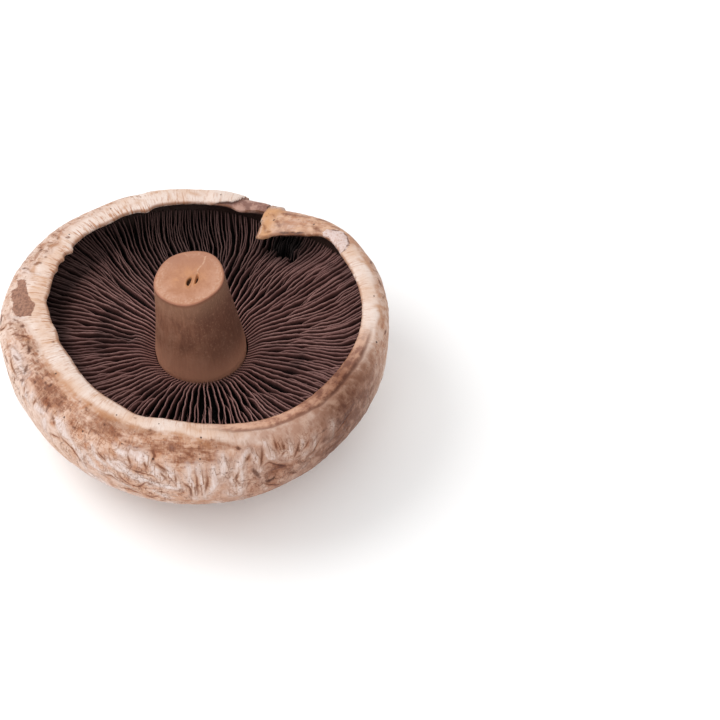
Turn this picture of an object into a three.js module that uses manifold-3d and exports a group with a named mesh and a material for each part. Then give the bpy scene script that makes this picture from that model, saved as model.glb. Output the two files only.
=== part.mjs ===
// A portobello mushroom, as picked and trimmed, lying on its cap with its gills and stem up.
// Three parts of it hold together as one body each: the pale cap with its rolled and torn rim,
// the dark ring of gills inside the rim, and the tapered stem with its cut end.
// Millimetres, +Z up. The origin is the middle of the flat spot that the cap rests on.
// Bearings run counterclockwise from +X, and the open side of the rim faces +Z.

import * as THREE from "three";
import { mergeVertices } from "three/addons/utils/BufferGeometryUtils.js";
import Module from "manifold-3d";

// Cap, seen from above: its widest girth and the inner edge of its rolled rim, at every 30 degrees.
const GIRTH_RADIUS = [59.3, 59.8, 56.0, 56.8, 59.3, 59.9, 58.8, 55.8, 56.0, 57.6, 58.3, 58.2];
const MARGIN_RADIUS = [51.0, 50.4, 48.7, 48.3, 48.5, 47.2, 42.8, 39.6, 40.9, 43.0, 47.8, 49.5];

// Cap, in section.
const REST_RADIUS = 11; // the flat spot that it lies on
const GIRTH_HEIGHT = 32;
const RIM_HEIGHT = 39;
const RIM_WAVE = 0.5; // how far the rim rises and dips round the cap
const DOME_FULLNESS = 2.7; // 2 would be an ellipse, and more is squarer
const SHOULDER_FULLNESS = 2.2;
const MARGIN_ROLL = 3; // from the rim's crest in to its edge
const MARGIN_THICKNESS = 1.8;
const WALL_THICKNESS = 5.2; // flesh between the girth and the gills
const LIP_THICKNESS = 3.8; // under the crest where the rim is thin
const LIP_THICKENING = 0.18; // more of it for each millimetre that the rim overhangs
const FLESH_HEIGHT = 19.5; // the flesh floor that the gills and the stem grow from

// The torn flap: the rim tore along a radius, and its one side stays folded in over the gills.
const TEAR = 66; // bearing of the tear, in degrees
const TEAR_RETREAT = 1.7; // how far the margin has shrunk back on the tear's open side
const TEAR_RETREAT_SPAN = 11; // degrees
const FLAP_START = 30; // bearing that the flap lies short of
const TEAR_WIDTH = 0.7; // degrees over which the rim steps back
const TEAR_SLANT = 5; // degrees that the torn edge leans over the flap's reach
const FLAP_EDGE = 39.2; // from the origin square to the flap's straight inner edge
const FLAP_FACING = 79; // bearing that the edge is square to
const FLAP_REACH = 9;
const FLAP_DROOP = 2.4;
const FLAP_MERGE = 0.5; // softens the corner where the edge meets the margin
const TEAR_DIP = 1.9; // the crest sags at the tear
const TEAR_DIP_SPAN = 20; // degrees on either side that the sag takes

// Gills: full ones from stem to rim, with a short one between each pair.
const FULL_GILLS = 90;
const GILL_HALF_TOP = 0.3;
const GILL_HALF_ROOT = 0.38;
const GILL_BASE = 1.2; // the thin skin of flesh that joins their roots
const GILL_RING_RADIUS = 14.3; // round the stem's foot, just clear of it
const GILL_WAVER = 0.22; // sideways wander of each gill
const GILL_LEAN = 0.035; // slow sway of neighbouring gills together, in radians
const CLEARANCE = 0.35;

// Stem.
const STEM_FOOT = { x: 2.1, y: -1.0 };
const STEM_TOP = { x: 0.2, y: -1.6, z: 55 };
const STEM_RADII = [13.7, 13.8, 13.1, 12.4, 11.8, 11.2, 10.7, 10.3]; // from the foot up, evenly spaced
const CUT_SLOPE_X = 0.09; // the knife ran a little askew
const CUT_SLOPE_Y = 0.11;
const CUT_BEVEL = 0.45;
const PITS = [
  { x: 0.1, y: -1.4, turn: -0.3, long: 1.5, wide: 0.5, deep: 1.2 },
  { x: 2.4, y: -0.7, turn: -0.15, long: 1.6, wide: 0.55, deep: 1.2 },
];

const COLUMNS = 72;
const TURN = 2 * Math.PI;
const EVERY = 30;

const radians = (degrees) => (degrees * Math.PI) / 180;
const mix = (a, b, share) => a + (b - a) * share;
const clamp01 = (value) => Math.min(1, Math.max(0, value));
const smooth = (value) => clamp01(value) ** 2 * (3 - 2 * clamp01(value));

// A seeded draw from 0 to 1 for item n of a named kind, the same on each run.
function draw(n, kind) {
  const wave = Math.sin(n * 127.1 + kind * 311.7) * 43758.5453;
  return wave - Math.floor(wave);
}

// A closed smooth curve through values listed at every 30 degrees.
function around(values, degrees) {
  const count = values.length;
  const place = (((degrees / EVERY) % count) + count) % count;
  const i = Math.floor(place);
  const f = place - i;
  const [a, b, c, d] = [-1, 0, 1, 2].map((step) => values[(i + step + count) % count]);
  return b + 0.5 * f * (c - a + f * (2 * a - 5 * b + 4 * c - d + f * (3 * (b - c) + d - a)));
}

// How far the flap's straight edge stands in from the plain margin.
function flapReach(degrees) {
  if (degrees < FLAP_START || degrees > TEAR) return 0;
  const past = around(MARGIN_RADIUS, degrees) - FLAP_EDGE / Math.cos(radians(degrees - FLAP_FACING));
  return past <= 0 ? 0 : past ** 2 / (past + FLAP_MERGE);
}

const girthRadius = (degrees) => around(GIRTH_RADIUS, degrees);

function marginRadius(degrees) {
  const past = (degrees - TEAR) / TEAR_RETREAT_SPAN;
  const retreat = past > 0 ? TEAR_RETREAT * smooth(1 - past) : 0;
  return around(MARGIN_RADIUS, degrees) - flapReach(degrees) + retreat;
}

function rimHeight(degrees) {
  const dip = TEAR_DIP * smooth(1 - Math.abs(degrees - TEAR) / TEAR_DIP_SPAN);
  return RIM_HEIGHT + RIM_WAVE * Math.sin(radians(3 * degrees) + 0.8) - dip;
}

// The inner wall that the gills stop at. Where the rim is thin it stands right under the margin.
function wallRadius(degrees) {
  const underMargin = around(MARGIN_RADIUS, degrees) + CLEARANCE;
  return Math.max(girthRadius(degrees) - WALL_THICKNESS, underMargin);
}

// Height at which the lip's underside meets the inner wall.
function lipUnderside(degrees) {
  const overhang = wallRadius(degrees) - around(MARGIN_RADIUS, degrees);
  return rimHeight(degrees) - LIP_THICKNESS - LIP_THICKENING * overhang;
}

// Turns a bearing, a radius and a height into a point.
function polar(degrees, radius, z, centre = { x: 0, y: 0 }) {
  const angle = radians(degrees);
  return [centre.x + radius * Math.cos(angle), centre.y + radius * Math.sin(angle), z];
}

// A closed surface made of loops of points. Each point carries its turn, its order round the loop.
class Skin {
  constructor() {
    this.points = [];
    this.faces = [];
  }

  loop(items) {
    return items.map(({ turn, point, mirrored }) => ({ turn, mirrored, index: this.points.push(point) - 1 }));
  }

  // Triangles between two loops, each stepping on in the order of their turns. Where both step on
  // together, a mirrored point halves its square the other way, so both faces of a blade match.
  bridge(inner, outer, period) {
    const turnAt = (loop, i) => loop[i % loop.length].turn + period * Math.floor(i / loop.length);
    const at = (loop, i) => loop[i % loop.length].index;
    let [i, j] = [0, 0];
    while (i < inner.length || j < outer.length) {
      const innerNext = i < inner.length ? turnAt(inner, i + 1) : Infinity;
      const outerNext = j < outer.length ? turnAt(outer, j + 1) : Infinity;
      if (innerNext === outerNext ? !inner[i].mirrored : innerNext < outerNext) {
        this.faces.push(at(inner, i), at(outer, j), at(inner, i + 1));
        i += 1;
      } else {
        this.faces.push(at(inner, i), at(outer, j), at(outer, j + 1));
        j += 1;
      }
    }
  }

  // Closes a loop with a fan round one middle point.
  close(loop, middle, facesBack) {
    const hub = this.points.push(middle) - 1;
    loop.forEach(({ index }, i) => {
      const next = loop[(i + 1) % loop.length].index;
      this.faces.push(hub, ...(facesBack ? [next, index] : [index, next]));
    });
  }

  geometry() {
    const made = new THREE.BufferGeometry();
    made.setAttribute("position", new THREE.Float32BufferAttribute(this.points.flat(), 3));
    made.setIndex(this.faces);
    return made;
  }
}

// The cap's bearings: even columns, with two at the tear so that it is a clean step.
function capBearings() {
  const even = Array.from({ length: COLUMNS }, (_, i) => (i * 360) / COLUMNS);
  const tear = [TEAR, TEAR + TEAR_WIDTH];
  const kept = even.filter((degrees) => tear.every((edge) => Math.abs(degrees - edge) > 1.2));
  return [...kept, ...tear].sort((a, b) => a - b);
}

// One section through the cap, from the flat spot out, over the rim and in to the flesh floor.
function capSection(degrees) {
  const girth = girthRadius(degrees);
  const margin = marginRadius(degrees);
  const crest = rimHeight(degrees);
  const wall = wallRadius(degrees);
  const wallTop = lipUnderside(degrees);
  const reach = flapReach(degrees) / FLAP_REACH;
  const edge = crest - FLAP_DROOP * reach;
  const crestRadius = margin + MARGIN_ROLL * (1 - reach / 2);
  const thickness = MARGIN_THICKNESS * (1 - reach / 3);
  const section = [];
  const domeSteps = 9;
  for (let i = 0; i <= domeSteps; i += 1) {
    const u = (i / domeSteps) * (Math.PI / 2);
    section.push([
      mix(REST_RADIUS, girth, Math.sin(u) ** (2 / DOME_FULLNESS)),
      GIRTH_HEIGHT * (1 - Math.cos(u) ** (2 / DOME_FULLNESS)),
    ]);
  }
  // The shoulder rolls over to the crest. On the flap it falls gently on to the torn edge.
  const shoulderSteps = 5;
  for (let i = 1; i <= shoulderSteps; i += 1) {
    const v = (i / shoulderSteps) * (Math.PI / 2);
    const inward = Math.cos(v) ** (2 / SHOULDER_FULLNESS);
    const rise = Math.sin(v) ** (2 / SHOULDER_FULLNESS);
    section.push([
      mix(crestRadius, girth, inward),
      mix(GIRTH_HEIGHT, crest, rise) - FLAP_DROOP * reach * (1 - inward) ** 2,
    ]);
  }
  section.push([margin + 0.25 * MARGIN_ROLL, edge - 0.15 * thickness]);
  section.push([margin, edge - 0.5 * thickness]);
  section.push([margin + 0.1 * MARGIN_ROLL, edge - 0.85 * thickness]);
  section.push([mix(margin, wall, 0.45), mix(edge - thickness, wallTop, 0.6)]);
  section.push([wall, wallTop]);
  section.push(...innerWall(wall, 0));
  return section;
}

// The lower inner wall and the round corner on to the flesh floor, drawn in by a clearance.
function innerWall(wall, inset) {
  return [
    [wall - inset, FLESH_HEIGHT + 5.5 + 0.3 * inset],
    [wall - 1.2 - 1.2 * inset, FLESH_HEIGHT + 2 + 0.8 * inset],
    [wall - 5 - 0.5 * inset, FLESH_HEIGHT + inset],
  ];
}

function capGeometry() {
  const bearings = capBearings();
  const sections = bearings.map(capSection);
  const skin = new Skin();
  // Inside the plain margin there is only the flap, and its torn edge leans.
  const slant = (degrees, radius) =>
    (TEAR_SLANT * Math.max(0, around(MARGIN_RADIUS, degrees) - radius)) / FLAP_REACH;
  const loops = sections[0].map((_, k) =>
    skin.loop(
      bearings.map((degrees, i) => {
        const [radius, z] = sections[i][k];
        const lean = z > GIRTH_HEIGHT && flapReach(degrees) > 0 ? slant(degrees, radius) : 0;
        return { turn: degrees, point: polar(degrees - lean, radius, z) };
      }),
    ),
  );
  skin.close(loops[0], [0, 0, 0], true);
  for (let k = 0; k + 1 < loops.length; k += 1) skin.bridge(loops[k + 1], loops[k], 360);
  skin.close(loops.at(-1), [0, 0, FLESH_HEIGHT], false);
  return skin.geometry();
}

// A place on the gill ring: share 0 is round the stem's foot and 1 is at the cap's inner wall.
function gillPlace(degrees, share, z) {
  const [x0, y0] = polar(degrees, GILL_RING_RADIUS, 0, STEM_FOOT);
  const [x1, y1] = polar(degrees, wallRadius(degrees) - CLEARANCE, 0);
  return [mix(x0, x1, share), mix(y0, y1, share), z];
}

// Rows across the gills: where each is, how high the gill edges stand there, and how far a short
// gill has risen. The edges dive to the stem's foot, and at the wall they climb up under the lip.
const GILL_ROWS = [
  { share: 0, edge: 23.2, short: null },
  { share: 0.11, edge: 26.2, short: null },
  { share: 0.36, edge: 27.4, short: 0 },
  { share: 0.52, edge: 27.5, short: 0.85 },
  { share: 0.78, edge: 28.2, short: 1 },
  { share: 0.94, edge: 30.2, short: 1 },
  { share: 1, edge: null, short: 1 },
];
const GILL_TOP_CLEARANCE = 0.6;
const GILL_ROOT_HEIGHT = FLESH_HEIGHT + CLEARANCE + GILL_BASE;
const GILL_ROOT_RISE = 4.55; // the roots climb with the flesh at the rim

function gillRoot(share) {
  return GILL_ROOT_HEIGHT + GILL_ROOT_RISE * smooth((share - 0.78) / 0.22);
}

// The four points across one gill at one row: root, edge, edge, root.
function gillAcross(turn, kind, row, rise) {
  const degrees = (turn * 360) / FULL_GILLS;
  const radius = mix(GILL_RING_RADIUS, MARGIN_RADIUS[0], row.share);
  const degreesPerMm = 360 / (TURN * radius);
  const sway = GILL_LEAN * Math.sin(radians(5 * degrees) + 7 * row.share) * row.share;
  const waver = GILL_WAVER * (2 * draw(turn + 11 * row.share, kind) - 1) * Math.min(1, 3 * row.share);
  const middle = degrees + (sway * 180) / Math.PI + waver * degreesPerMm;
  const root = gillRoot(row.share);
  const uneven = 0.5 * (draw(turn, kind + 5) - 0.5);
  const top = row.edge === null ? lipUnderside(degrees) - GILL_TOP_CLEARANCE : row.edge + uneven;
  const edge = mix(root, top, rise);
  return [
    [-GILL_HALF_ROOT, root],
    [-GILL_HALF_TOP, edge],
    [GILL_HALF_TOP, edge],
    [GILL_HALF_ROOT, root],
  ].map(([side, z]) => gillPlace(middle + side * degreesPerMm, row.share, z));
}

function gillGeometry() {
  const skin = new Skin();
  const itemRows = GILL_ROWS.map((row) => {
    const items = [];
    const add = (turn, points) =>
      points.forEach((point, i) => items.push({ turn: turn + i / 8, point, mirrored: i === 2 }));
    for (let gill = 0; gill < FULL_GILLS; gill += 1) {
      add(gill, gillAcross(gill, 1, row, 1));
      if (row.short === null) continue;
      const rise = row.short * (row.short < 1 ? 0.5 + draw(gill, 3) / 2 : 1);
      add(gill + 0.5, gillAcross(gill + 0.5, 2, row, rise));
    }
    return items;
  });
  // The two ends of each gill stand upright, over the same points at a lower height.
  const dropped = (items, z) =>
    items.map(({ turn, point, mirrored }) => ({ turn, mirrored, point: [point[0], point[1], z] }));
  const plain = (pointAt) =>
    skin.loop(
      Array.from({ length: COLUMNS }, (_, i) => {
        const degrees = (i * 360) / COLUMNS;
        return { turn: (i * FULL_GILLS) / COLUMNS, point: pointAt(degrees) };
      }),
    );
  const foot = skin.loop(dropped(itemRows[0], FLESH_HEIGHT + CLEARANCE));
  const ends = skin.loop(dropped(itemRows.at(-1), innerWall(0, CLEARANCE)[0][1]));
  const under = [1, 2].map((k) =>
    plain((degrees) => polar(degrees, ...innerWall(wallRadius(degrees), CLEARANCE)[k])),
  );
  const closed = [foot, ...itemRows.map((items) => skin.loop(items)), ends, ...under, foot];
  for (let k = 0; k + 1 < closed.length; k += 1) skin.bridge(closed[k], closed[k + 1], FULL_GILLS);
  return skin.geometry();
}

// Height of the cut face over a place on it.
function cutHeight(x, y) {
  return STEM_TOP.z + CUT_SLOPE_X * (x - STEM_TOP.x) + CUT_SLOPE_Y * (y - STEM_TOP.y);
}

function stemGeometry() {
  const columns = 40;
  const foot = FLESH_HEIGHT + CLEARANCE;
  const skin = new Skin();
  const ring = (level, radius, heightAt) =>
    skin.loop(
      Array.from({ length: columns }, (_, i) => {
        const degrees = (i * 360) / columns;
        const angle = radians(degrees);
        const uneven = 0.02 * Math.sin(2 * angle + 0.6) + 0.015 * Math.sin(5 * angle + 3 * level);
        const centre = { x: mix(STEM_FOOT.x, STEM_TOP.x, level), y: mix(STEM_FOOT.y, STEM_TOP.y, level) };
        const [x, y] = polar(degrees, radius * (1 + uneven * Math.min(1, 2 * level)), 0, centre);
        return { turn: degrees, point: [x, y, heightAt(x, y)] };
      }),
    );
  const last = STEM_RADII.length - 1;
  const rings = STEM_RADII.map((radius, i) =>
    ring(i / last, radius, (x, y) => mix(foot, cutHeight(x, y) - CUT_BEVEL, i / last)),
  );
  rings.push(ring(1, STEM_RADII[last] - CUT_BEVEL, cutHeight));
  skin.close(rings[0], [STEM_FOOT.x, STEM_FOOT.y, foot], true);
  for (let k = 0; k + 1 < rings.length; k += 1) skin.bridge(rings[k + 1], rings[k], 360);
  skin.close(rings.at(-1), [STEM_TOP.x, STEM_TOP.y, STEM_TOP.z], false);
  return skin.geometry();
}

const wasm = await Module();
wasm.setup();

function toSolid(geometry) {
  const plain = geometry.clone();
  plain.deleteAttribute("normal");
  plain.deleteAttribute("uv");
  const merged = mergeVertices(plain);
  const vertProperties = new Float32Array(merged.attributes.position.array);
  return new wasm.Manifold(
    new wasm.Mesh({ numProp: 3, vertProperties, triVerts: new Uint32Array(merged.index.array) }),
  );
}

function toGeometry(solid) {
  const { numProp, vertProperties, triVerts } = solid.getMesh();
  const made = new THREE.BufferGeometry();
  const buffer = new THREE.InterleavedBuffer(vertProperties, numProp);
  made.setAttribute("position", new THREE.InterleavedBufferAttribute(buffer, 3, 0));
  made.setIndex(new THREE.BufferAttribute(triVerts, 1));
  return made;
}

// A small hollow torn in the pith, sunk into the cut face.
function pitGeometry({ x, y, turn, long, wide, deep }) {
  const centre = { x: STEM_TOP.x + x, y: STEM_TOP.y + y };
  return new THREE.SphereGeometry(1, 10, 6)
    .scale(wide, long, deep)
    .rotateZ(turn)
    .translate(centre.x, centre.y, cutHeight(centre.x, centre.y));
}

function pittedStem() {
  const pits = PITS.map((pit) => toSolid(pitGeometry(pit)));
  return toGeometry(pits.reduce((stem, pit) => stem.subtract(pit), toSolid(stemGeometry())));
}

function piece(name, geometry, color, roughness) {
  const made = new THREE.Mesh(geometry, new THREE.MeshStandardMaterial({ color, roughness, metalness: 0 }));
  made.name = name;
  return made;
}

const mushroom = new THREE.Group();
mushroom.name = "portobello_mushroom";
mushroom.add(piece("cap", capGeometry(), 0xd9b795, 0.75));
mushroom.add(piece("gills", gillGeometry(), 0x4a3330, 0.85));
mushroom.add(piece("stem", pittedStem(), 0xa9795a, 0.7));

export default mushroom;
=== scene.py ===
"""A portobello mushroom, picked and trimmed, lying on its cap with its gills and stem up.

Shapes are worked out in millimetres and bearings in degrees counterclockwise from +X, on the same
formulas as the solids, and each mesh is made in metres.
"""

import math

import bpy
import numpy as np

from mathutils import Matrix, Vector


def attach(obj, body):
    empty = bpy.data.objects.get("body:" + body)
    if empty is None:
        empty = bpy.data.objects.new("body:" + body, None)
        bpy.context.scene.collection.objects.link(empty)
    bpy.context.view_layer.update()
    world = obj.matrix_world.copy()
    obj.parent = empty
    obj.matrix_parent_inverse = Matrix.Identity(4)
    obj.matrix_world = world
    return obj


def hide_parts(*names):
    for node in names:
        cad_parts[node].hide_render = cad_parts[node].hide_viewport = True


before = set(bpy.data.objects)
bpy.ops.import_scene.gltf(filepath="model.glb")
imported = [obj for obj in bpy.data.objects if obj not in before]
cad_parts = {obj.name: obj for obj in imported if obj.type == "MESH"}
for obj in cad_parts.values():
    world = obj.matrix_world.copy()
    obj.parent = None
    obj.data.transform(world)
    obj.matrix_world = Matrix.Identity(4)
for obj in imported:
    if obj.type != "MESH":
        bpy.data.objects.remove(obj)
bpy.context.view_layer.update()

# Viewpoint
# The camera stands in front and looks 48 degrees down on the mushroom through a long lens, as the
# photograph does.
LOOKING_DOWN = 48
lens = bpy.data.cameras.new("long_lens")
lens.lens = 100
lens.sensor_width = 36
camera = bpy.data.objects.new("camera", lens)
camera.location = (0.0504, -0.41240, 0.47505)
camera.rotation_euler = (math.radians(90 - LOOKING_DOWN), 0, 0)
bpy.context.scene.collection.objects.link(camera)
bpy.context.scene.camera = camera

# Cap
# The cap is one body of pale flesh under a thin skin. It grew as a dome, rolled its rim in over the
# gills, and dried: the skin shrank, split into whitish shreds below the rim, and tore on the far side.
GIRTH_RADIUS = np.array([59.3, 59.8, 56.0, 56.8, 59.3, 59.9, 58.8, 55.8, 56.0, 57.6, 58.3, 58.2])
MARGIN_RADIUS = np.array([51.0, 50.4, 48.7, 48.3, 48.5, 47.2, 42.8, 39.6, 40.9, 43.0, 47.8, 49.5])
REST_RADIUS = 11
GIRTH_HEIGHT = 32
RIM_HEIGHT = 39
RIM_WAVE = 0.5
DOME_FULLNESS = 2.7
SHOULDER_FULLNESS = 2.2
MARGIN_ROLL = 3
MARGIN_THICKNESS = 1.8
LIP_TUCK = 0.16
WALL_THICKNESS = 5.2
# How far the lip's underside lies below the rim, and how steeply it falls toward the wall.
LIP_DEPTH = 3.8
LIP_SLOPE = 0.18
# How far the foot of the inner wall comes in.
WALL_FOOT = 5
FLESH_HEIGHT = 19.5
# The bearing of the tear, how far the rim sags there, and how far the margin has drawn back beside it.
TEAR = 66
TEAR_SAG = 1.9
TEAR_RETREAT = 1.7
FLAP_REACH = 9
FLAP_DROOP = 2.4
# The flap's low edge is nearly straight: its distance from the middle, and the bearing it faces.
FLAP_EDGE_DISTANCE = 39.2
FLAP_EDGE_FACING = 79
# The skin is laid out flat as if it ran round a cylinder of this radius.
SHEET_RADIUS = 57
# Bearing, depth and half width in degrees of each nick and swelling of the margin.
NICKS = [
    (110.8, 1.6, 2.6), (116, 0.5, 3), (126, 0.8, 5), (146.2, 1.4, 1.6), (151.3, 0.8, 1.1), (157, 0.5, 1.2),
    (173.5, -0.9, 4), (190, 0.9, 5), (206, 0.7, 9), (253, -1.3, 7), (75, 1.3, 3.5), (84, 0.4, 4),
    (58.5, -0.9, 5), (64.5, 0.5, 2), (37, -1.3, 7), (51, -0.3, 1.5),
]


def ease(value):
    value = np.clip(value, 0, 1)
    return value * value * (3 - 2 * value)


def between(value, start, rise, end, fall):
    """1 between a start and an end, with a soft rise after the one and a soft fall before the other."""
    return ease((value - start) / rise) * ease((end - value) / fall)


def hump(value, width):
    """A soft rise to 1 where the value is 0."""
    return np.exp(-(value / width) ** 2)


def turned_from(bearing, start):
    """Degrees from one bearing to another, from -180 to 180."""
    return (bearing - start + 180) % 360 - 180


def around(values, bearing):
    """A closed smooth curve through values that stand evenly spaced round the cap."""
    count = len(values)
    place = (bearing * count / 360) % count
    i = np.floor(place).astype(int)
    f = place - i
    a, b, c, d = (values[(i + step) % count] for step in (-1, 0, 1, 2))
    return b + 0.5 * f * (c - a + f * (2 * a - 5 * b + 4 * c - d + f * (3 * (b - c) + d - a)))


def flesh_noise(points, seed):
    """Smooth seeded noise, about -1 to 1, at points given in cells of one."""
    cell = np.floor(points).astype(np.int64)
    part = points - cell
    blend = part ** 3 * (part * (part * 6 - 15) + 10)
    total = np.zeros(len(points))
    for corner in np.ndindex(2, 2, 2):
        at = (cell + corner) % 65536
        # The large odd numbers and shifts only scramble the cell's place into a chance number.
        mixed = (at[:, 0] * 73856093) ^ (at[:, 1] * 19349663) ^ (at[:, 2] * 83492791) ^ (seed * 40503)
        mixed = ((mixed ^ (mixed >> 13)) * 1540483477) & 0xFFFFFFFF
        mixed = ((mixed ^ (mixed >> 15)) * 1103515245) & 0x3FFFFFFF
        weight = np.prod(np.where(corner, blend, 1 - blend), axis=1)
        for k in range(3):
            slope = ((mixed >> (10 * k)) & 1023) / 511.5 - 1
            total += weight * slope * (part[:, k] - corner[k])
    return total * 1.4


def rough(points, size, seed, octaves=3):
    """Noise of several sizes, the largest of them the given size across, in millimetres."""
    total = sum(flesh_noise(points * 2 ** k / size, seed + k) / 1.8 ** k for k in range(octaves))
    return total / 1.4


def flap_reach(bearing):
    facing = np.radians(np.clip(bearing, 20, 70) - FLAP_EDGE_FACING)
    past = around(MARGIN_RADIUS, bearing) - FLAP_EDGE_DISTANCE / np.cos(facing)
    reach = np.where(past > 0, past ** 2 / (np.abs(past) + 0.5), 0)
    return np.where((bearing < 30) | (bearing > TEAR), 0, reach)


def margin_radius(bearing):
    retreat = np.where(bearing > TEAR, TEAR_RETREAT * ease(1 - (bearing - TEAR) / 11), 0)
    return around(MARGIN_RADIUS, bearing) - flap_reach(bearing) + retreat


def rim_height(bearing):
    sag = TEAR_SAG * ease(1 - np.abs(bearing - TEAR) / 20)
    return RIM_HEIGHT + RIM_WAVE * np.sin(np.radians(3 * bearing) + 0.8) - sag


def wall_radius(bearing):
    return np.maximum(around(GIRTH_RADIUS, bearing) - WALL_THICKNESS, around(MARGIN_RADIUS, bearing) + 0.35)


def lip_underside(bearing):
    inward = wall_radius(bearing) - around(MARGIN_RADIUS, bearing)
    return rim_height(bearing) - LIP_DEPTH - LIP_SLOPE * inward


def paced(radius, height, count, pace=np.ones_like):
    """The same curve with its points set evenly along it, closer where pace is large."""
    radius, height = np.broadcast_arrays(radius, height)
    step = np.hypot(np.diff(radius, axis=0), np.diff(height, axis=0)) * pace(0.5 * (radius[1:] + radius[:-1]))
    run = np.concatenate([np.zeros((1, step.shape[1])), np.cumsum(step, 0)])
    out = np.empty((2, count, radius.shape[1]))
    for i in range(radius.shape[1]):
        at = np.linspace(0, run[-1, i], count)
        out[0, :, i] = np.interp(at, run[:, i], radius[:, i])
        out[1, :, i] = np.interp(at, run[:, i], height[:, i])
    return out


def cap_sections(bearing):
    """Radius and height of every point of the sections at some bearings, from the resting spot out."""
    girth, wall = around(GIRTH_RADIUS, bearing), wall_radius(bearing)
    crest, margin = rim_height(bearing), margin_radius(bearing)
    for at, depth, half in NICKS:
        margin = margin - depth * hump(turned_from(bearing, at), half)
    reach = flap_reach(bearing) / FLAP_REACH
    edge = crest - FLAP_DROOP * reach
    thick = MARGIN_THICKNESS * (1 - reach / 3)
    u = np.linspace(0, math.pi / 2, 600)[:, None]
    over, up = np.sin(u), 1 - np.clip(np.cos(u), 0, 1) ** (2 / DOME_FULLNESS)
    dome = (REST_RADIUS + (girth - REST_RADIUS) * over ** (2 / DOME_FULLNESS), GIRTH_HEIGHT * up)
    inward, rise = np.clip(np.cos(u), 0, 1) ** (2 / SHOULDER_FULLNESS), over ** (2 / SHOULDER_FULLNESS)
    crest_radius = margin + MARGIN_ROLL * (1 - reach / 2)
    shoulder = (
        crest_radius + (girth - crest_radius) * inward,
        GIRTH_HEIGHT + (crest - GIRTH_HEIGHT) * rise - FLAP_DROOP * reach * (1 - inward) ** 2,
    )
    v = np.linspace(0, math.pi, 60)[1:, None]
    roll = np.where(v < math.pi / 2, 1, LIP_TUCK) * (1 - np.sin(v))
    nose = (margin + (crest_radius - margin) * roll, edge - thick * (1 - np.cos(v)) / 2)
    w = np.linspace(0, 1, 30)[1:, None]
    start = margin + LIP_TUCK * (crest_radius - margin)
    fall = (lip_underside(bearing) - edge + thick) * (1 - (1 - w) ** 1.4)
    under = (start + (wall - start) * w, edge - thick + fall)
    low = np.linspace(1, 0, 12)[1:, None]
    rise = (lip_underside(bearing) - FLESH_HEIGHT) * low ** 1.2
    side = (wall - WALL_FOOT * (1 - low ** 0.4), FLESH_HEIGHT + rise)
    parts = [
        paced(*dome, DOME_STEPS, lambda radius: 0.4 + 0.6 * ease((radius - 26) / 14)),
        paced(*map(np.vstack, zip(shoulder, nose)), SHOULDER_STEPS)[:, 1:],
        paced(*under, 9),
        paced(*side, 5)[:, 1:],
    ]
    return np.concatenate(parts, axis=1)


COLUMNS = 560
DOME_STEPS = 104
SHOULDER_STEPS = 54
bearing = np.linspace(TEAR + 0.25, TEAR + 360, COLUMNS) % 360
radius, height = cap_sections(bearing)
rows = radius.shape[0]

# How far each point of the skin is from the margin, along the section.
steps = np.hypot(np.diff(radius, axis=0), np.diff(height, axis=0))
run = np.concatenate([np.zeros((1, COLUMNS)), np.cumsum(steps, 0)])
nose_row = DOME_STEPS + SHOULDER_STEPS - 6
along = run[nose_row] - run

# The torn edge leans over the flap's reach, and is ragged: a notch, then a lobe that ends in a point.
below = np.maximum(0, around(MARGIN_RADIUS, bearing) - radius)
ragged = np.interp(below, [0, 2.3, 3.6, 5.2, 6.6, 7.6, 8.3, 9.4], [0, -0.2, 1.1, 1.6, 1.8, 1.2, 0.2, 0])
chance = flesh_noise(np.stack([below * 1.1, 0 * below, 0 * below], -1).reshape(-1, 3), 9)
ragged = ragged + 0.3 * chance.reshape(below.shape)
slant = 0.16 * below + ragged * ease(below) * ease((bearing - 57) / 7)
slant = np.where((flap_reach(bearing) > 0) & (height > GIRTH_HEIGHT), slant, 0)
turned = np.radians(bearing - slant)
skin = np.stack([radius * np.cos(turned), radius * np.sin(turned), height], -1)
angle = np.radians(np.broadcast_to(bearing, radius.shape))
sheet = np.stack([SHEET_RADIUS * np.cos(angle), SHEET_RADIUS * np.sin(angle), along], -1)


def spot(at_bearing, at_along):
    """Millimetres over the skin, round the cap and out from the margin, from a place on it."""
    turn = turned_from(bearing, at_bearing) * math.pi / 180 * np.maximum(radius, 1)
    return turn, along - at_along


def grid_normals(points):
    across = np.roll(points, -1, axis=1) - np.roll(points, 1, axis=1)
    across[:, 0], across[:, -1] = points[:, 1] - points[:, 0], points[:, -1] - points[:, -2]
    outward = np.gradient(points, axis=0)
    normal = np.cross(across, outward)
    return normal / np.maximum(np.linalg.norm(normal, axis=-1, keepdims=True), 1e-9)


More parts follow.
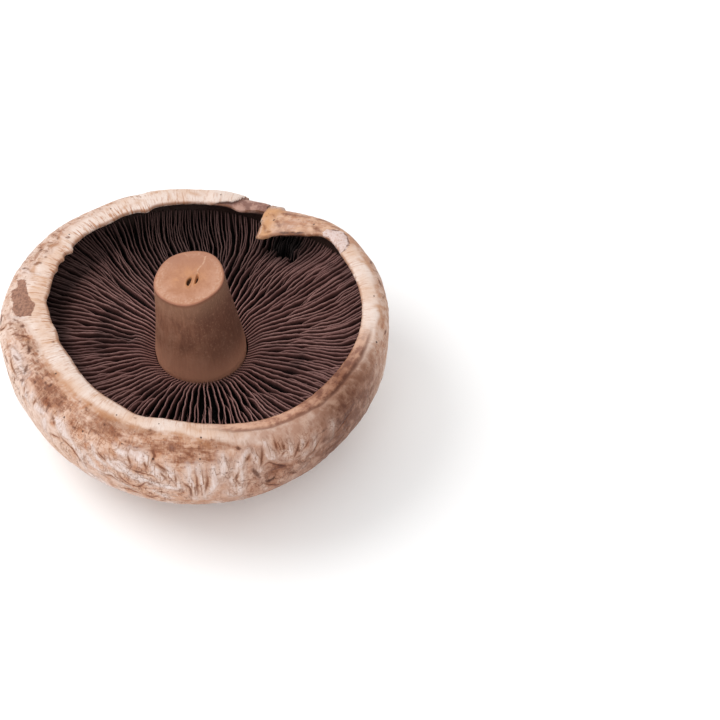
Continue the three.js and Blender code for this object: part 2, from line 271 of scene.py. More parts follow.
def nearest(line):
    """The columns near a line, the distance of each place there from it, and the share of its length.

    A line lists the bearing and the distance from the margin of each of its places, by turns.
    """
    points = np.array(line, float).reshape(-1, 2)
    middle = points[:, 0].mean()
    aside = np.abs(turned_from(bearing, middle))
    columns = np.where(aside < 6 + np.abs(points[:, 0] - middle).max())[0]
    y = along[:, columns]
    x = np.radians(turned_from(bearing[columns], middle)) * radius[:, columns]
    reach = np.interp(points[:, 1], along.mean(1)[::-1], radius.mean(1)[::-1])
    ends = np.stack([np.radians(points[:, 0] - middle) * reach, points[:, 1]], -1)
    length = np.hypot(*np.diff(ends, axis=0).T)
    best, share, passed = np.full(y.shape, 99.0), np.zeros(y.shape), 0.0
    for a, b, size in zip(ends[:-1], ends[1:], length):
        ux, uy = (b - a) / size
        t = np.clip((x - a[0]) * ux + (y - a[1]) * uy, 0, size)
        dx, dy = x - a[0] - t * ux, y - a[1] - t * uy
        far = np.hypot(dx, dy) * np.where(dx * uy - dy * ux < 0, -1, 1)
        nearer = np.abs(far) < np.abs(best)
        best, share = np.where(nearer, far, best), np.where(nearer, (passed + t) / length.sum(), share)
        passed += size
    return columns, best, share


def marks(lines):
    """Signed distance over the skin to the nearest of some lines, and how strongly that line is there."""
    best, strength = np.full(shape, 99.0), np.zeros(shape)
    for line in lines:
        columns, far, share = nearest(line)
        nearer = np.abs(far) < np.abs(best[:, columns])
        taper = np.sqrt(np.sin(np.pi * np.clip(share, 0.04, 0.96)))
        best[:, columns] = np.where(nearer, far, best[:, columns])
        strength[:, columns] = np.where(nearer, taper, strength[:, columns])
    return np.clip(best, -4, 4), strength * ease((3 - np.abs(best)) / 1.5)


def strokes(lines):
    """How deep inside the nearest of some strokes each place is. A stroke is a half width and a line."""
    depth = np.full(shape, -3.0)
    for half, *line in lines:
        columns, far, share = nearest(line)
        taper = np.sqrt(np.sin(np.pi * np.clip(share, 0.1, 0.9)))
        depth[:, columns] = np.maximum(depth[:, columns], half * taper - np.abs(far))
    return depth


def outside(outline):
    """Distance over the skin from a closed outline, negative inside it."""
    columns, far, _ = nearest(outline + outline[:1])
    x, y = bearing[columns] + 0 * along[:, columns], along[:, columns]
    within = np.zeros(x.shape, bool)
    for (x0, y0), (x1, y1) in zip(outline, outline[1:] + outline[:1]):
        within ^= ((y0 > y) != (y1 > y)) & (x < x0 + (y - y0) * (x1 - x0) / ((y1 - y0) or 1))
    distance = np.full(shape, 9.0)
    distance[:, columns] = np.where(within, -np.abs(far), np.abs(far))
    return distance


def draws(n, kind):
    """Seeded draws from 0 to 1 for items n of a numbered kind."""
    wave = np.sin(np.asarray(n) * 127.1 + kind * 311.7) * 43758.5453
    return wave - np.floor(wave)


def strewn(count, kind, bearings, places, length, half):
    """Seeded strokes drawn out away from the margin, each from a lowest to a highest value of these."""
    made = []
    for n in range(count):
        pick = []
        for k, (low, high) in enumerate((bearings, places, length, half)):
            pick.append(low + (high - low) * draws(n, kind + k))
        drift, bend = 9 * (draws(n, kind + 4) - 0.5), 3 * (draws(n, kind + 5) - 0.5)
        line = []
        for t in (0, 0.33, 0.67, 1):
            line += [pick[0] + drift * t + bend * math.sin(3 * t), pick[1] + pick[2] * t]
        made.append((pick[3], *line))
    return made


def skin_noise(stretch, size, seed, octaves=3, shift=0):
    """Noise over the skin laid out flat, with its three directions stretched."""
    return rough((flat_sheet + shift) * stretch, size, seed, octaves).reshape(shape)


flat_sheet = sheet.reshape(-1, 3)
shape = radius.shape
outer = ease((along + 1) / 2)
broad = skin_noise([1, 1, 0.8], 26, 11, 2)
lumps = skin_noise(1, 9, 12)
pleats = skin_noise([1, 1, 0.12], 1.6, 13, 2)
warp = rough(flat_sheet, 7, 14, 2).reshape(-1, 1) * 3
# Whitish strands of the dried skin, drawn out and frayed, stand a little proud of the brown flesh.
# Each stroke lists its half width, then the bearing and the distance from the margin of its places.
strands = skin_noise([1, 1, 0.42], 3.6, 15, 4, warp)
fringe = between(along, 9, 6, 66, 22)
frayed = 0.55 * strands + 0.3 * skin_noise([1, 1, 0.3], 1.5, 16, 2)
PALE_STRANDS = [
    (1.7, 226, 14.5, 230, 16, 234, 18.5), (1.3, 234, 18.5, 237, 21.5, 238, 28),
    (0.9, 223, 16.5, 221, 23.5, 223, 25.5), (1.1, 214, 16, 218, 17, 221, 16.5),
    (2.3, 248, 18.5, 251, 18.5, 254, 20), (1.7, 253, 20.5, 258, 22.5, 263, 24.5),
    (1.3, 260, 24, 264, 24.5, 268, 24.5), (0.8, 244, 26.5, 248, 24, 250, 26.5, 253, 28),
    (1.7, 255, 12.5, 258, 13.5, 261, 15), (1.7, 262, 16, 263, 18, 264, 21),
    (1.1, 272, 15, 272, 20, 273, 25, 273, 30.5), (1.3, 266, 16, 268, 20.5, 269, 24),
    (0.9, 275, 14, 275, 19.5, 276, 25, 276, 30), (0.7, 274, 15, 275, 20),
    (1, 279, 14.5, 279, 21.5, 277, 27), (1, 261, 28, 263, 29.5, 265, 31.5),
    (1.3, 290, 9.5, 288, 11.5, 286, 14, 286, 19, 286, 28.5), (0.9, 290, 9.5, 291, 12, 292, 14.5, 292, 20.5),
    (0.7, 284, 15.5, 284, 21, 285, 26.5), (1.5, 295, 8.5, 295, 11.5, 297, 15),
    (1, 298, 17.5, 300, 18.5, 302, 17.5), (0.7, 300, 12.5, 300, 16), (1, 306, 11.5, 305, 14.5),
    (1.3, 305, 17.5, 307, 17.5), (0.7, 293, 17, 293, 24, 294, 29.5), (0.7, 307, 24, 306, 24.5),
    (1.1, 317, 10.5, 317, 15, 316, 18.5), (0.7, 302, 30.5, 304, 29.5), (1, 282, 11, 282, 14.5, 281, 20),
    (1.2, 194, 14, 199, 13.5, 202, 14, 205, 14), (0.5, 198, 16, 203, 16, 205, 17),
    (0.9, 207, 16, 210, 17, 213, 19.5), (0.5, 181, 12, 182, 9.5, 183, 7),
    (1, 250, 13, 254, 13.5, 254, 15.5), (1, 242, 15.5, 243, 18.5, 246, 20.5),
    (1, 239, 19.5, 241, 23.5, 244, 25.5), (0.8, 302, 9.5, 302, 12.5, 302, 15.5),
    (1, 310, 12.5, 310, 16.5, 309, 20), (0.5, 159, 13, 162, 7.5, 162, 4), (0.6, 282, 26, 284, 29, 286, 28),
]
hidden_strands = strewn(95, 101, (-28, 178), (11, 42), (6, 15), (0.5, 1.7))
low_strands = strewn(50, 111, (178, 332), (31, 50), (5, 12), (0.5, 1.6))
hollow_turn, hollow_out = spot(297.5, 21.5)
hollow = hump(hollow_turn, 4.6) * hump(hollow_out, 4.2)
peel = np.clip(strokes(PALE_STRANDS + hidden_strands + low_strands), -2, 2)
peel = peel + frayed * fringe - 2.4 * hollow
proud = ease(peel / 0.9 + 0.3) * ease((along - 4) / 4)
# Darker tufts and flecks where the brown fibres stand together, and orange stains beside the pale band.
TUFTS = [
    (3, 212, 12.5, 218, 11.5, 222, 11, 226, 12.5), (1.5, 218, 15, 221, 15.5), (1, 225, 12.5, 227, 14),
    (1, 223, 8, 225, 9.5), (0.7, 234, 12, 236, 14), (0.6, 239, 16, 238, 19.5),
    (2, 236, 7.5, 243, 7, 250, 6, 259, 6), (2.3, 237, 11, 244, 9.5, 249, 9),
    (1.3, 253, 10, 257, 10.5, 261, 10.5, 264, 10), (1.1, 262, 10, 268, 10.5, 274, 10, 279, 9),
    (1.4, 267, 14, 272, 13.5, 275, 12.5, 280, 12.5), (1.3, 272, 11.5, 277, 10.5, 280, 10),
    (1, 247, 14, 250, 15, 252, 15), (1.5, 277, 7.5, 282, 8, 286, 8.5), (0.9, 290, 14.5, 291, 18, 292, 22),
    (1.3, 294, 17, 297, 19, 301, 21.5), (0.7, 294, 25, 296, 25.5), (1.2, 312, 17, 314, 16.5, 313, 19.5),
    (0.8, 304, 19.5, 306, 21), (0.7, 155, 10, 155, 7.5), (0.9, 144, 9.5, 144, 7), (0.8, 150, 8.5, 148, 7.5),
    (1, 149, 6, 147, 6), (0.7, 200, 9, 201, 8.5), (0.7, 210, 13, 211, 12.5), (1, 196, 7, 199, 6.5),
    (0.8, 190, 16, 192, 15.5), (0.7, 180, 12.5, 181, 13), (1.7, 203, 10, 207, 9, 212, 7),
    (1.7, 191, 10.5, 195, 8.5, 200, 8), (1.7, 184, 12, 185, 10.5, 188, 9.5), (0.7, 266, 24, 265, 24.5),
    (1.3, 154, 8.5, 151, 8.5, 147, 8), (1, 265, 8.5, 270, 9), (1.7, 319, 6.5, 321, 9.5, 325, 10.5),
    (1.7, 318, 11.5, 322, 14, 326, 12.5), (1.3, 305, 24.5, 308, 22.5, 311, 22.5),
    (1, 311, 20.5, 315, 19, 319, 18.5),
]
FLECKS = [
    (0.4, 221, 13, 222, 15.5), (0.5, 234, 13.5, 234, 14), (0.5, 302, 24.5, 304, 26),
    (0.5, 154, 5, 154, 4.5), (0.4, 157, 7, 157, 5.5), (0.5, 152, 9, 151, 8.5), (0.4, 152, 6.5, 151, 6),
    (0.5, 158, 7.5, 158, 6.5), (0.5, 160, 11, 160, 9.5), (0.5, 145, 6.5, 144, 5.5),
    (0.5, 143, 3.5, 142, 2.5), (0.5, 186, 9.5, 186, 8.5), (0.4, 203, 9, 204, 9), (0.4, 198, 8.5, 198, 8.5),
    (0.4, 208, 11, 209, 11), (0.5, 216, 10, 216, 9), (0.5, 214, 10.5, 214, 10), (0.5, 203, 12, 205, 14),
    (0.3, 206, 15, 208, 17), (0.4, 211, 10, 212, 10.5), (0.7, 290, 16.5, 291, 19, 292, 21.5),
    (0.6, 294, 24.5, 295, 25.5, 297, 25),
]
STAINS = [
    (0.5, 201, 6, 203, 7, 205, 6.5), (0.9, 205, 6.5, 208, 7, 212, 7), (1.4, 212, 6, 216, 6, 220, 6, 225, 6),
    (1.3, 230, 5.5, 235, 5.5, 243, 5.5, 248, 5), (0.7, 249, 5.5, 253, 5, 257, 5.5), (0.8, 262, 6.5, 264, 7),
    (0.6, 265, 5, 269, 5, 273, 6, 276, 7, 278, 8.5), (1, 248, 13.5, 250, 15), (1, 224, 13, 226, 14.5),
    (0.5, 192, 10, 193, 7), (0.5, 191, 8.5, 192, 6.5), (0.4, 176, 4.5, 176, 3), (0.5, 183, 2.5, 183, 0),
    (0.7, 142, 0.5, 139, 0.5), (0.7, 151, 1, 151, -0.5), (0.7, 232, 2.5, 234, 1, 238, 2),
    (0.5, 241, 2, 244, 1.5), (0.7, 273, 2, 275, 3.5), (1, 149, 5.5, 147, 5.5), (0.4, 165, 2, 165, 1),
    (0.5, 157, 2, 158, 0.5), (0.8, 221, 8, 226, 7),
]
# Specks of soil: half width, bearing and distance from the margin.
SPECKS = [
    (0.45, 234.2, 5.3), (0.35, 233.6, 6.9), (0.35, 252, 1.8), (0.7, 287, 9), (0.45, 282.5, 16.6),
    (0.35, 279.6, 6.3), (0.35, 313.4, 12.1), (0.45, 196.5, 1.6), (0.35, 230, 6.5), (0.35, 224.2, 8.1),
    (0.35, 229.4, 10), (0.45, 210.8, 12.8), (0.4, 199.2, 7.2), (0.4, 196.6, 8.4), (0.35, 215.6, 11.2),
    (0.35, 243.2, 8.3), (0.3, 259, 5.2), (0.3, 216.2, 6.9),
]
soil = [(half, at - 0.3, far, at + 0.3, far + 0.2) for half, at, far in SPECKS]
# Dark dry patches and lines on the flap.
FLAP_MARKS = [
    (0.6, 55, 8.5, 52, 8.5, 51, 8), (0.5, 48, 8, 46, 8, 44, 8), (0.4, 41, 5.5, 38, 5.5),
    (0.4, 60, 9, 57, 8.5), (0.4, 54, 1, 51, 0.5, 49, 0), (0.4, 48, -0.5, 46, -0.5),
    (0.4, 45, 0, 43, -1, 42, -1), (0.3, 65, 5, 64, 2.5, 62, 1.5), (0.2, 63, 8.5, 61, 6.5, 58, 3),
    (0.3, 46, 4, 44, 2.5, 42, 1.5), (0.3, 40, 2.5, 38, 3), (0.3, 36, 4, 32, 4),
]
tufts = strokes(TUFTS + strewn(60, 121, (-20, 150), (9, 34), (1, 4), (0.6, 1.8)))
flecks = strokes(FLECKS + soil + strewn(110, 131, (-28, 215), (7, 40), (0.4, 1.6), (0.25, 0.5)))
stains = strokes(STAINS + strewn(22, 141, (-10, 190), (0.5, 8), (0.6, 2.5), (0.4, 1.2)))
# Cracks where the skin split as it dried.
CRACKS = [
    (230, 20, 232, 21, 234, 22, 237, 25.5), (224, 23.5, 228, 21.5), (226, 16, 227, 17),
    (261, 11, 262, 13, 261, 15.5), (262, 14.5, 264, 16, 266, 17), (254, 18, 257, 19, 261, 20, 262, 21.5),
    (250, 21.5, 252, 25.5, 254, 27, 256, 27.5, 259, 23.5, 262, 25), (254, 13.5, 255, 16.5),
    (259, 14.5, 260, 17), (264, 17.5, 265, 21), (268, 18, 268, 22.5), (270, 21.5, 272, 24, 272, 29.5),
    (293, 16, 295, 15, 297, 17.5, 300, 20, 302, 20.5), (293, 25, 295, 27, 298, 29.5, 300, 30.5),
    (298, 8.5, 298, 11.5), (300, 10, 300, 12.5), (299, 14, 300, 12.5), (305, 11.5, 304, 14, 303, 17),
    (308, 12.5, 307, 14.5, 306, 15), (312, 15, 310, 18.5, 308, 19.5), (244, 16.5, 245, 17.5, 247, 19),
    (244, 26, 246, 26, 248, 25, 250, 26.5), (216, 15.5, 216, 17.5), (189, 11.5, 190, 10, 192, 8),
    (259, 29, 260, 30.5), (262, 28.5, 264, 28.5), (258, 31.5, 259, 34, 262, 31),
    (286, 15.5, 285, 20, 286, 22.5), (290, 11, 289, 12.5, 288, 13), (294, 9.5, 293, 13, 292, 16.5),
    (249, 32, 253, 30, 256, 31.5), (318, 17, 321, 16, 324, 14), (209, 16, 210, 18.5),
    (274, 16.5, 274, 22, 274, 27), (277, 16.5, 277, 21, 276, 26.5), (196, 15.5, 200, 16.5, 203, 16.5),
]
hidden_cracks = [line for _, *line in strewn(46, 151, (-28, 190), (12, 44), (3, 9), (0, 0))]
split, split_here = marks(CRACKS + hidden_cracks)
split = split + 0.3 * skin_noise(1, 2.4, 19, 2)
# Finer wandering cracks all over the shredded skin.
wild = skin_noise([1, 1, 0.6], 6.5, 18, 3, -warp)
wild_here = fringe * ease((skin_noise(1, 9, 24, 2) + 0.1) / 0.25)

# Heights and depths of the skin's relief, in millimetres.
SWELLS = 0.5
LUMPS = 0.25
PLEATS = 0.05
STRAND_RISE = 0.12
TUFT_DEPTH = 0.1
SPLIT_DEPTH = 0.2
WILD_DEPTH = 0.3
STRIP_RISE = 0.5
HOLLOW_DEPTH = 1.1
LAYER_STEP = 0.9
FLAP_SWELL = 1.1
SLIVER_RISE = 0.75
CRUMBLE_DEPTH = 0.4
CREASE_DEPTH = 0.5
LIP_SWELL = 0.25
NIBBLES = 0.12
relief = outer * (SWELLS * broad + LUMPS * lumps * ease(along / 8)) + PLEATS * pleats * outer
relief += outer * (STRAND_RISE * proud + 0.1 * strands * fringe - TUFT_DEPTH * ease(tufts + 0.5))
relief -= outer * (SPLIT_DEPTH * split_here * hump(split, 0.5) + WILD_DEPTH * wild_here * hump(wild, 0.06))
# A raised strip runs up the left of the largest crack, and a hollow of curled skin lies to its right.
strip_turn, strip_out = spot(286.8, 14)
relief += STRIP_RISE * hump(strip_turn - 0.35 * (14 - along), 1.1) * hump(strip_out, 4.5)
curls = skin_noise([0.8, 0.8, 1.6], 4.2, 26, 2, 0.6 * warp)
relief += hollow * (1.3 * curls - HOLLOW_DEPTH)

# Far side: the pale skin lifts to a point over a thinner layer, left of the tear.
open_side = np.where(bearing > TEAR, bearing - TEAR, 400)
LAYER_TURNS = [0, 4, 8.2, 9.3, 10.5, 12.5, 17, 20, 24]
layer_edge = np.interp(open_side, LAYER_TURNS, [15, 14.5, 11, 7.1, 4.1, 2.0, 0.8, -0.6, -2])
layer = along - layer_edge + 0.25 * skin_noise(1, 1.8, 21, 2)
layer_zone = ease((23 - open_side) / 4) * ease((24 - along) / 6)
relief += layer_zone * (LAYER_STEP * ease(layer / 0.5 + 0.5) - 0.55) * ease((along + 1.5) / 1.5)

# Behind the flap the cap swells a little, and a sliver of its skin stands up beside the tear.
relief += FLAP_SWELL * hump(bearing - 47, 13) * between(along, 3, 7, 40, 20)
relief += SLIVER_RISE * between(bearing, 61.3, 0.6, TEAR + 0.5, 0.5) * between(along, 6, 3, 22, 5)
# The flap's low edge has crumbled in the middle, and the flesh there is brown, painted darker still as the
# shadow under the curled edge.
bead_zone = between(bearing, 45, 3, 57.5, 2)
bead = along - 1.0 - 0.9 * flesh_noise(np.stack([bearing / 1.9, 0 * bearing, 0 * bearing], -1), 29)
relief -= CRUMBLE_DEPTH * bead_zone * ease((0.3 - bead) / 0.6) * ease((along + 1.5) / 1)

# Front right: the lip is set off by a soft crease, with fainter ones beside it.
LIP_BEARINGS = [0, 255, 279, 299, 308, 318, 332, 350, 360]
lip = np.interp(bearing, LIP_BEARINGS, [2.8, 2.8, 2.8, 3.6, 3.7, 4.5, 4.2, 4.0, 4.0])
lip_zone = between(bearing, 272, 22, 356, 14)
crease = along - lip + 0.5 * skin_noise(1, 5, 23)
relief -= lip_zone * CREASE_DEPTH * (hump(crease, 0.8) + 0.32 * hump(crease + 1.5, 0.45))
relief += LIP_SWELL * ease((0.3 - crease) / 1.2) * lip_zone * outer

# The margin is not quite even: it is nibbled in small waves.
relief += NIBBLES * ease((2.5 - np.abs(along)) / 2) * skin_noise(1, 2.2, 27, 2)

skin = skin + grid_normals(skin) * relief[..., None]
skin[..., 2] = np.maximum(skin[..., 2], 0)


def build(name, vertices, faces):
    """A smooth piece from places in millimetres."""
    mesh = bpy.data.meshes.new(name)
    mesh.from_pydata((vertices * 0.001).tolist(), [], faces)
    mesh.update()
    mesh.polygons.foreach_set("use_smooth", [True] * len(mesh.polygons))
    made = bpy.data.objects.new(name, mesh)
    bpy.context.scene.collection.objects.link(made)
    return made


def closed_grid(name, points, capped=()):
    """A mesh from rows of points that run round, with a fan over each of the rows named in capped."""
    count_rows, count = points.shape[:2]
    vertices = points.reshape(-1, 3)
    i, j = np.meshgrid(np.arange(count_rows - 1), np.arange(count), indexing="ij")
    near, far = i * count + j, i * count + (j + 1) % count
    faces = np.stack([near, far, far + count, near + count], -1).reshape(-1, 4).tolist()
    for row, flip in capped:
        ring = list(range(row * count, row * count + count))
        middle = len(vertices)
        vertices = np.vstack([vertices, points[row].mean(0)])
        for a, b in zip(ring, ring[1:] + ring[:1]):
            faces.append([middle, b, a] if flip else [middle, a, b])
    return build(name, vertices, faces)


def give(piece, **readings):
    """Writes numbers or places for the vertices of a piece, by name, for its material to read.

    The middle of a row that is closed with a fan takes the mean of the first or the last row.
    """
    for name, values in readings.items():
        vector = values.shape[-1] == 3
        flat = values.reshape(-1, 3) if vector else values.ravel()
        closed = len(piece.data.vertices) - len(flat)
        if closed:
            flat = np.concatenate([flat, [values[0].mean(0), values[-1].mean(0)][-closed:]])
        attribute = piece.data.attributes.new(name, "FLOAT_VECTOR" if vector else "FLOAT", "POINT")
        attribute.data.foreach_set("vector" if vector else "value", flat.astype(np.float32).ravel())


cap = closed_grid("mushroom_cap", skin, capped=[(0, True), (rows - 1, False)])

# The skin's colours are laid out by bearing and by distance from the margin. A pale smooth band
# lies along the margin, then a brown fibrous one, then whitish shreds, and the top of the cap is tan.
EVERY_15 = np.arange(0, 375, 15)
PALE_WIDTH = [
    6, 6, 6, 5, 5, 8, 12, 12, 6, 5, 4.8, 7, 8.5, 6.8, 6.8, 6.2, 5.2, 5.4, 5.8, 8.2, 10, 10, 7, 6, 6,
]
BROWNING = [5, 5, 5, 5, 5, 3, 3, 4, 5, 5, 5, 4, 4, 6, 8, 7.5, 6.5, 7, 8, 6.5, 4, 4, 6, 6, 5]
wavy = 1.1 * skin_noise(1, 9, 81)
pale_width = np.interp(bearing, EVERY_15, PALE_WIDTH)
brown = ease((along + wavy - pale_width + 1.8) / 3.6) * (np.interp(bearing, EVERY_15, BROWNING) / 10)
fading = 0.75 - 0.4 * between(bearing, 226, 20, 340, 20)
brown = brown * (1 - fading * ease((along + wavy - 13) / 6))
under_cap = ease((along - 42) / 16)
brown = brown * (1 - under_cap) + 0.45 * under_cap
brown = np.maximum(brown, 1.1 * hollow)
BRUISE = [
    (165, 11.5), (165, 8.5), (167, 7.5), (169, 7), (172, 5.5), (174, 4.5), (176, 3.5), (180, 5), (182, 6),
    (182, 8), (181, 10), (178, 11), (175, 10.5), (171, 11.5), (169, 12.5), (169, 10.5), (167, 10.5),
]
BARE_PATCH = [
    (41, 1), (41, 3), (39, 4.5), (37, 5.5), (35, 5.5), (31, 4.5), (29, 2), (29, 0), (33, -0.5), (37, 0),
    (40, -0.5),
]
opened = SHEET_RADIUS * np.radians((bearing - TEAR) % 360) + 0 * along
# The right side is browner, and a painted shadow darkens it, most toward its end.
right_side = ease((bearing - 272 + 0.3 * (along - 10)) / 30) * ease((358 - bearing) / 34)
right_end = ease((bearing - 302 + 0.4 * (along - 10)) / 24) * ease((354 - bearing) / 28)
flap_here = between(bearing, 28, 5, TEAR + 0.5, 1) * ease((13 - along) / 3)
give(
    cap,
    grain=sheet,
    place=skin,
    flat=np.stack([opened, along, 0 * along], -1),
    along=along,
    layer=np.where(layer_zone > 0.02, layer, 9),
    peel=peel,
    split=split,
    split_here=split_here * outer,
    wild_here=wild_here * outer,
    crease=crease,
    lip_here=lip_zone + 0 * along,
    bead=bead,
    bead_here=bead_zone + 0 * along,
    bruise=outside(BRUISE),
    brown=brown,
    hollow=hollow,
    flap_marks=strokes(FLAP_MARKS),
    streaky=between(bearing, 80, 30, 222, 26) + 0 * along,
    tufts=tufts,
    flecks=flecks,
    stains=stains,
    right_side=right_side * ease((66 - along) / 26),
    right_end=right_end * ease((46 - along) / 20),
    flap_here=flap_here,
    flap_tip=flap_here * ease((bearing - 58.5) / 4),
    bare=np.where(bearing < TEAR, outside(BARE_PATCH), 9),
)


class Finish:
    """Lays out one material or one shared effect, node by node."""

    def __init__(self, tree):
        self.tree = tree

    def fill(self, node, inputs):
        for name, value in inputs.items():
            if isinstance(value, bpy.types.NodeSocket):
                self.tree.links.new(value, node.inputs[name])
            else:
                node.inputs[name].default_value = value
        return node

    def add(self, kind, inputs, **settings):
        made = self.tree.nodes.new(kind)
        for name, value in settings.items():
            setattr(made, name, value)
        return self.fill(made, inputs)

    def read(self, name, socket="Fac"):
        return self.add("ShaderNodeAttribute", {}, attribute_name=name).outputs[socket]

    def place(self, name, stretch=(1, 1, 1)):
        values = {0: self.read(name, "Vector"), 1: stretch}
        return self.add("ShaderNodeVectorMath", values, operation="MULTIPLY").outputs[0]

    def noise(self, place, size, detail=4.0, roughness=0.5, distortion=0.0):
        values = {"Vector": place, "Scale": 1 / size, "Detail": detail, "Roughness": roughness}
        return self.add("ShaderNodeTexNoise", values | {"Distortion": distortion}).outputs["Fac"]

    def span(self, value, low, high, start=0.0, end=1.0):
        values = {"Value": value, "From Min": low, "From Max": high, "To Min": start, "To Max": end}
        return self.add("ShaderNodeMapRange", values, interpolation_type="SMOOTHSTEP").outputs["Result"]

    def maths(self, operation, first, second=0.0):
        return self.add("ShaderNodeMath", {0: first, 1: second}, operation=operation).outputs[0]

    def plus(self, first, second):
        return self.maths("ADD", first, second)

    def minus(self, first, second):
        return self.maths("SUBTRACT", first, second)

    def times(self, first, second):
        return self.maths("MULTIPLY", first, second)

    def unsigned(self, value):
        return self.maths("ABSOLUTE", value)

    def vary(self, value, amount):
        """A share from 0 to 1 as a swing to both sides of nothing."""
        return self.times(self.minus(value, 0.5), amount)

    def tint(self, share, base, over, blend_type="MIX"):
        made = self.add("ShaderNodeMix", {}, data_type="RGBA", blend_type=blend_type)
        return self.fill(made, {0: share, 6: base, 7: over}).outputs[2]

    def cover(self, share, over):
        """Lays one more colour over the material's own."""
        self.colour = self.tint(share, self.colour, over)

    def darken(self, share, red, green, blue):
        """Multiplies the material's own colour."""
        self.colour = self.tint(share, self.colour, (red, green, blue, 1), "MULTIPLY")

    def bump(self, height, distance, strength):
        values = {"Height": height, "Distance": distance, "Strength": strength}
        return self.add("ShaderNodeBump", values).outputs["Normal"]


# The lamps and the white room together light a surface a little more than fully.
LAMP_ALLOWANCE = 0.8


def seen(*levels):
    """The shader's value for a colour that should look like this, from 0 to 255, under the lamps here."""
    linear = [((v / 255 + 0.055) / 1.055) ** 2.4 if v > 10 else v / 3294 for v in levels]
    return tuple(LAMP_ALLOWANCE * v for v in linear) + (1.0,)


def shared_effect(name, inputs, outputs):
    """A shader node group with named inputs and outputs, and the finish that lays it out."""
    group = bpy.data.node_groups.new(name, "ShaderNodeTree")
    group.interface.new_socket("Place", in_out="INPUT", socket_type="NodeSocketVector")
    for socket_name, value in inputs.items():
        socket = group.interface.new_socket(socket_name, in_out="INPUT", socket_type="NodeSocketFloat")
        socket.default_value = value
    for socket_name in outputs:
        group.interface.new_socket(socket_name, in_out="OUTPUT", socket_type="NodeSocketFloat")
    work = Finish(group)
    return group, work, work.add("NodeGroupInput", {}).outputs, work.add("NodeGroupOutput", {})


def finish(piece, name, layout):
    """Gives a piece a material of its own. The layout says what its shader's sockets hold."""
    material = bpy.data.materials.new(name)
    material.use_nodes = True
    work = Finish(material.node_tree)
    shader = material.node_tree.nodes["Principled BSDF"]
    work.fill(shader, layout(work) | {"Specular IOR Level": 0.3})
    piece.data.materials.append(material)


# Fibres that run along the flesh: fine pale and dark streaks, thinner where Width is small.
fibre_group, work, given, put = shared_effect(
    "flesh_fibres", {"Width": 0.5, "Contrast": 0.5}, ["Streaks", "Height"])
thinness = work.maths("DIVIDE", 1.0, given["Width"])
scaled = work.add("ShaderNodeVectorMath", {0: given["Place"], "Scale": thinness}, operation="SCALE")
streaks = work.noise(scaled.outputs[0], 1.0, 4.0, 0.6, 0.4)
swing = work.vary(streaks, work.times(given["Contrast"], 4.0))
work.fill(put, {"Height": streaks, "Streaks": work.plus(swing, 0.5)})

# Small dark specks of soil and spores, of the given Spacing, at the given Share of the places.
speck_group, work, given, put = shared_effect(
    "dark_specks", {"Spacing": 6.0, "Size": 0.3, "Share": 0.5}, ["Mask"])
closeness = work.maths("DIVIDE", 1.0, given["Spacing"])
values = {"Vector": given["Place"], "Randomness": 1.0, "Scale": closeness}
cells = work.add("ShaderNodeTexVoronoi", values, voronoi_dimensions="2D")
gap = work.times(cells.outputs["Distance"], given["Spacing"])
lot = work.add("ShaderNodeSeparateColor", {"Color": cells.outputs["Color"]})
size_here = work.times(given["Size"], work.plus(lot.outputs["Green"], 0.4))
inside = work.minus(1.0, work.maths("MINIMUM", 1.0, work.maths("DIVIDE", gap, size_here)))
chosen = work.maths("LESS_THAN", lot.outputs["Red"], given["Share"])
work.fill(put, {"Mask": work.times(work.span(inside, 0.0, 0.35), chosen)})


def fibres_of(work, stretch, width, contrast):
    """Streaks and height of fibres in a piece's own grain, with its three directions stretched."""
    values = {"Place": work.place("grain", stretch), "Width": width, "Contrast": contrast}
    made = work.add("ShaderNodeGroup", values, node_tree=fibre_group).outputs
    return made["Streaks"], made["Height"]


def specks_of(work, spacing, size, share, stretch=(1, 1, 1)):
    """Specks over the skin laid out flat."""
    values = {"Place": work.place("flat", stretch), "Spacing": spacing, "Size": size, "Share": share}
    return work.add("ShaderNodeGroup", values, node_tree=speck_group).outputs["Mask"]


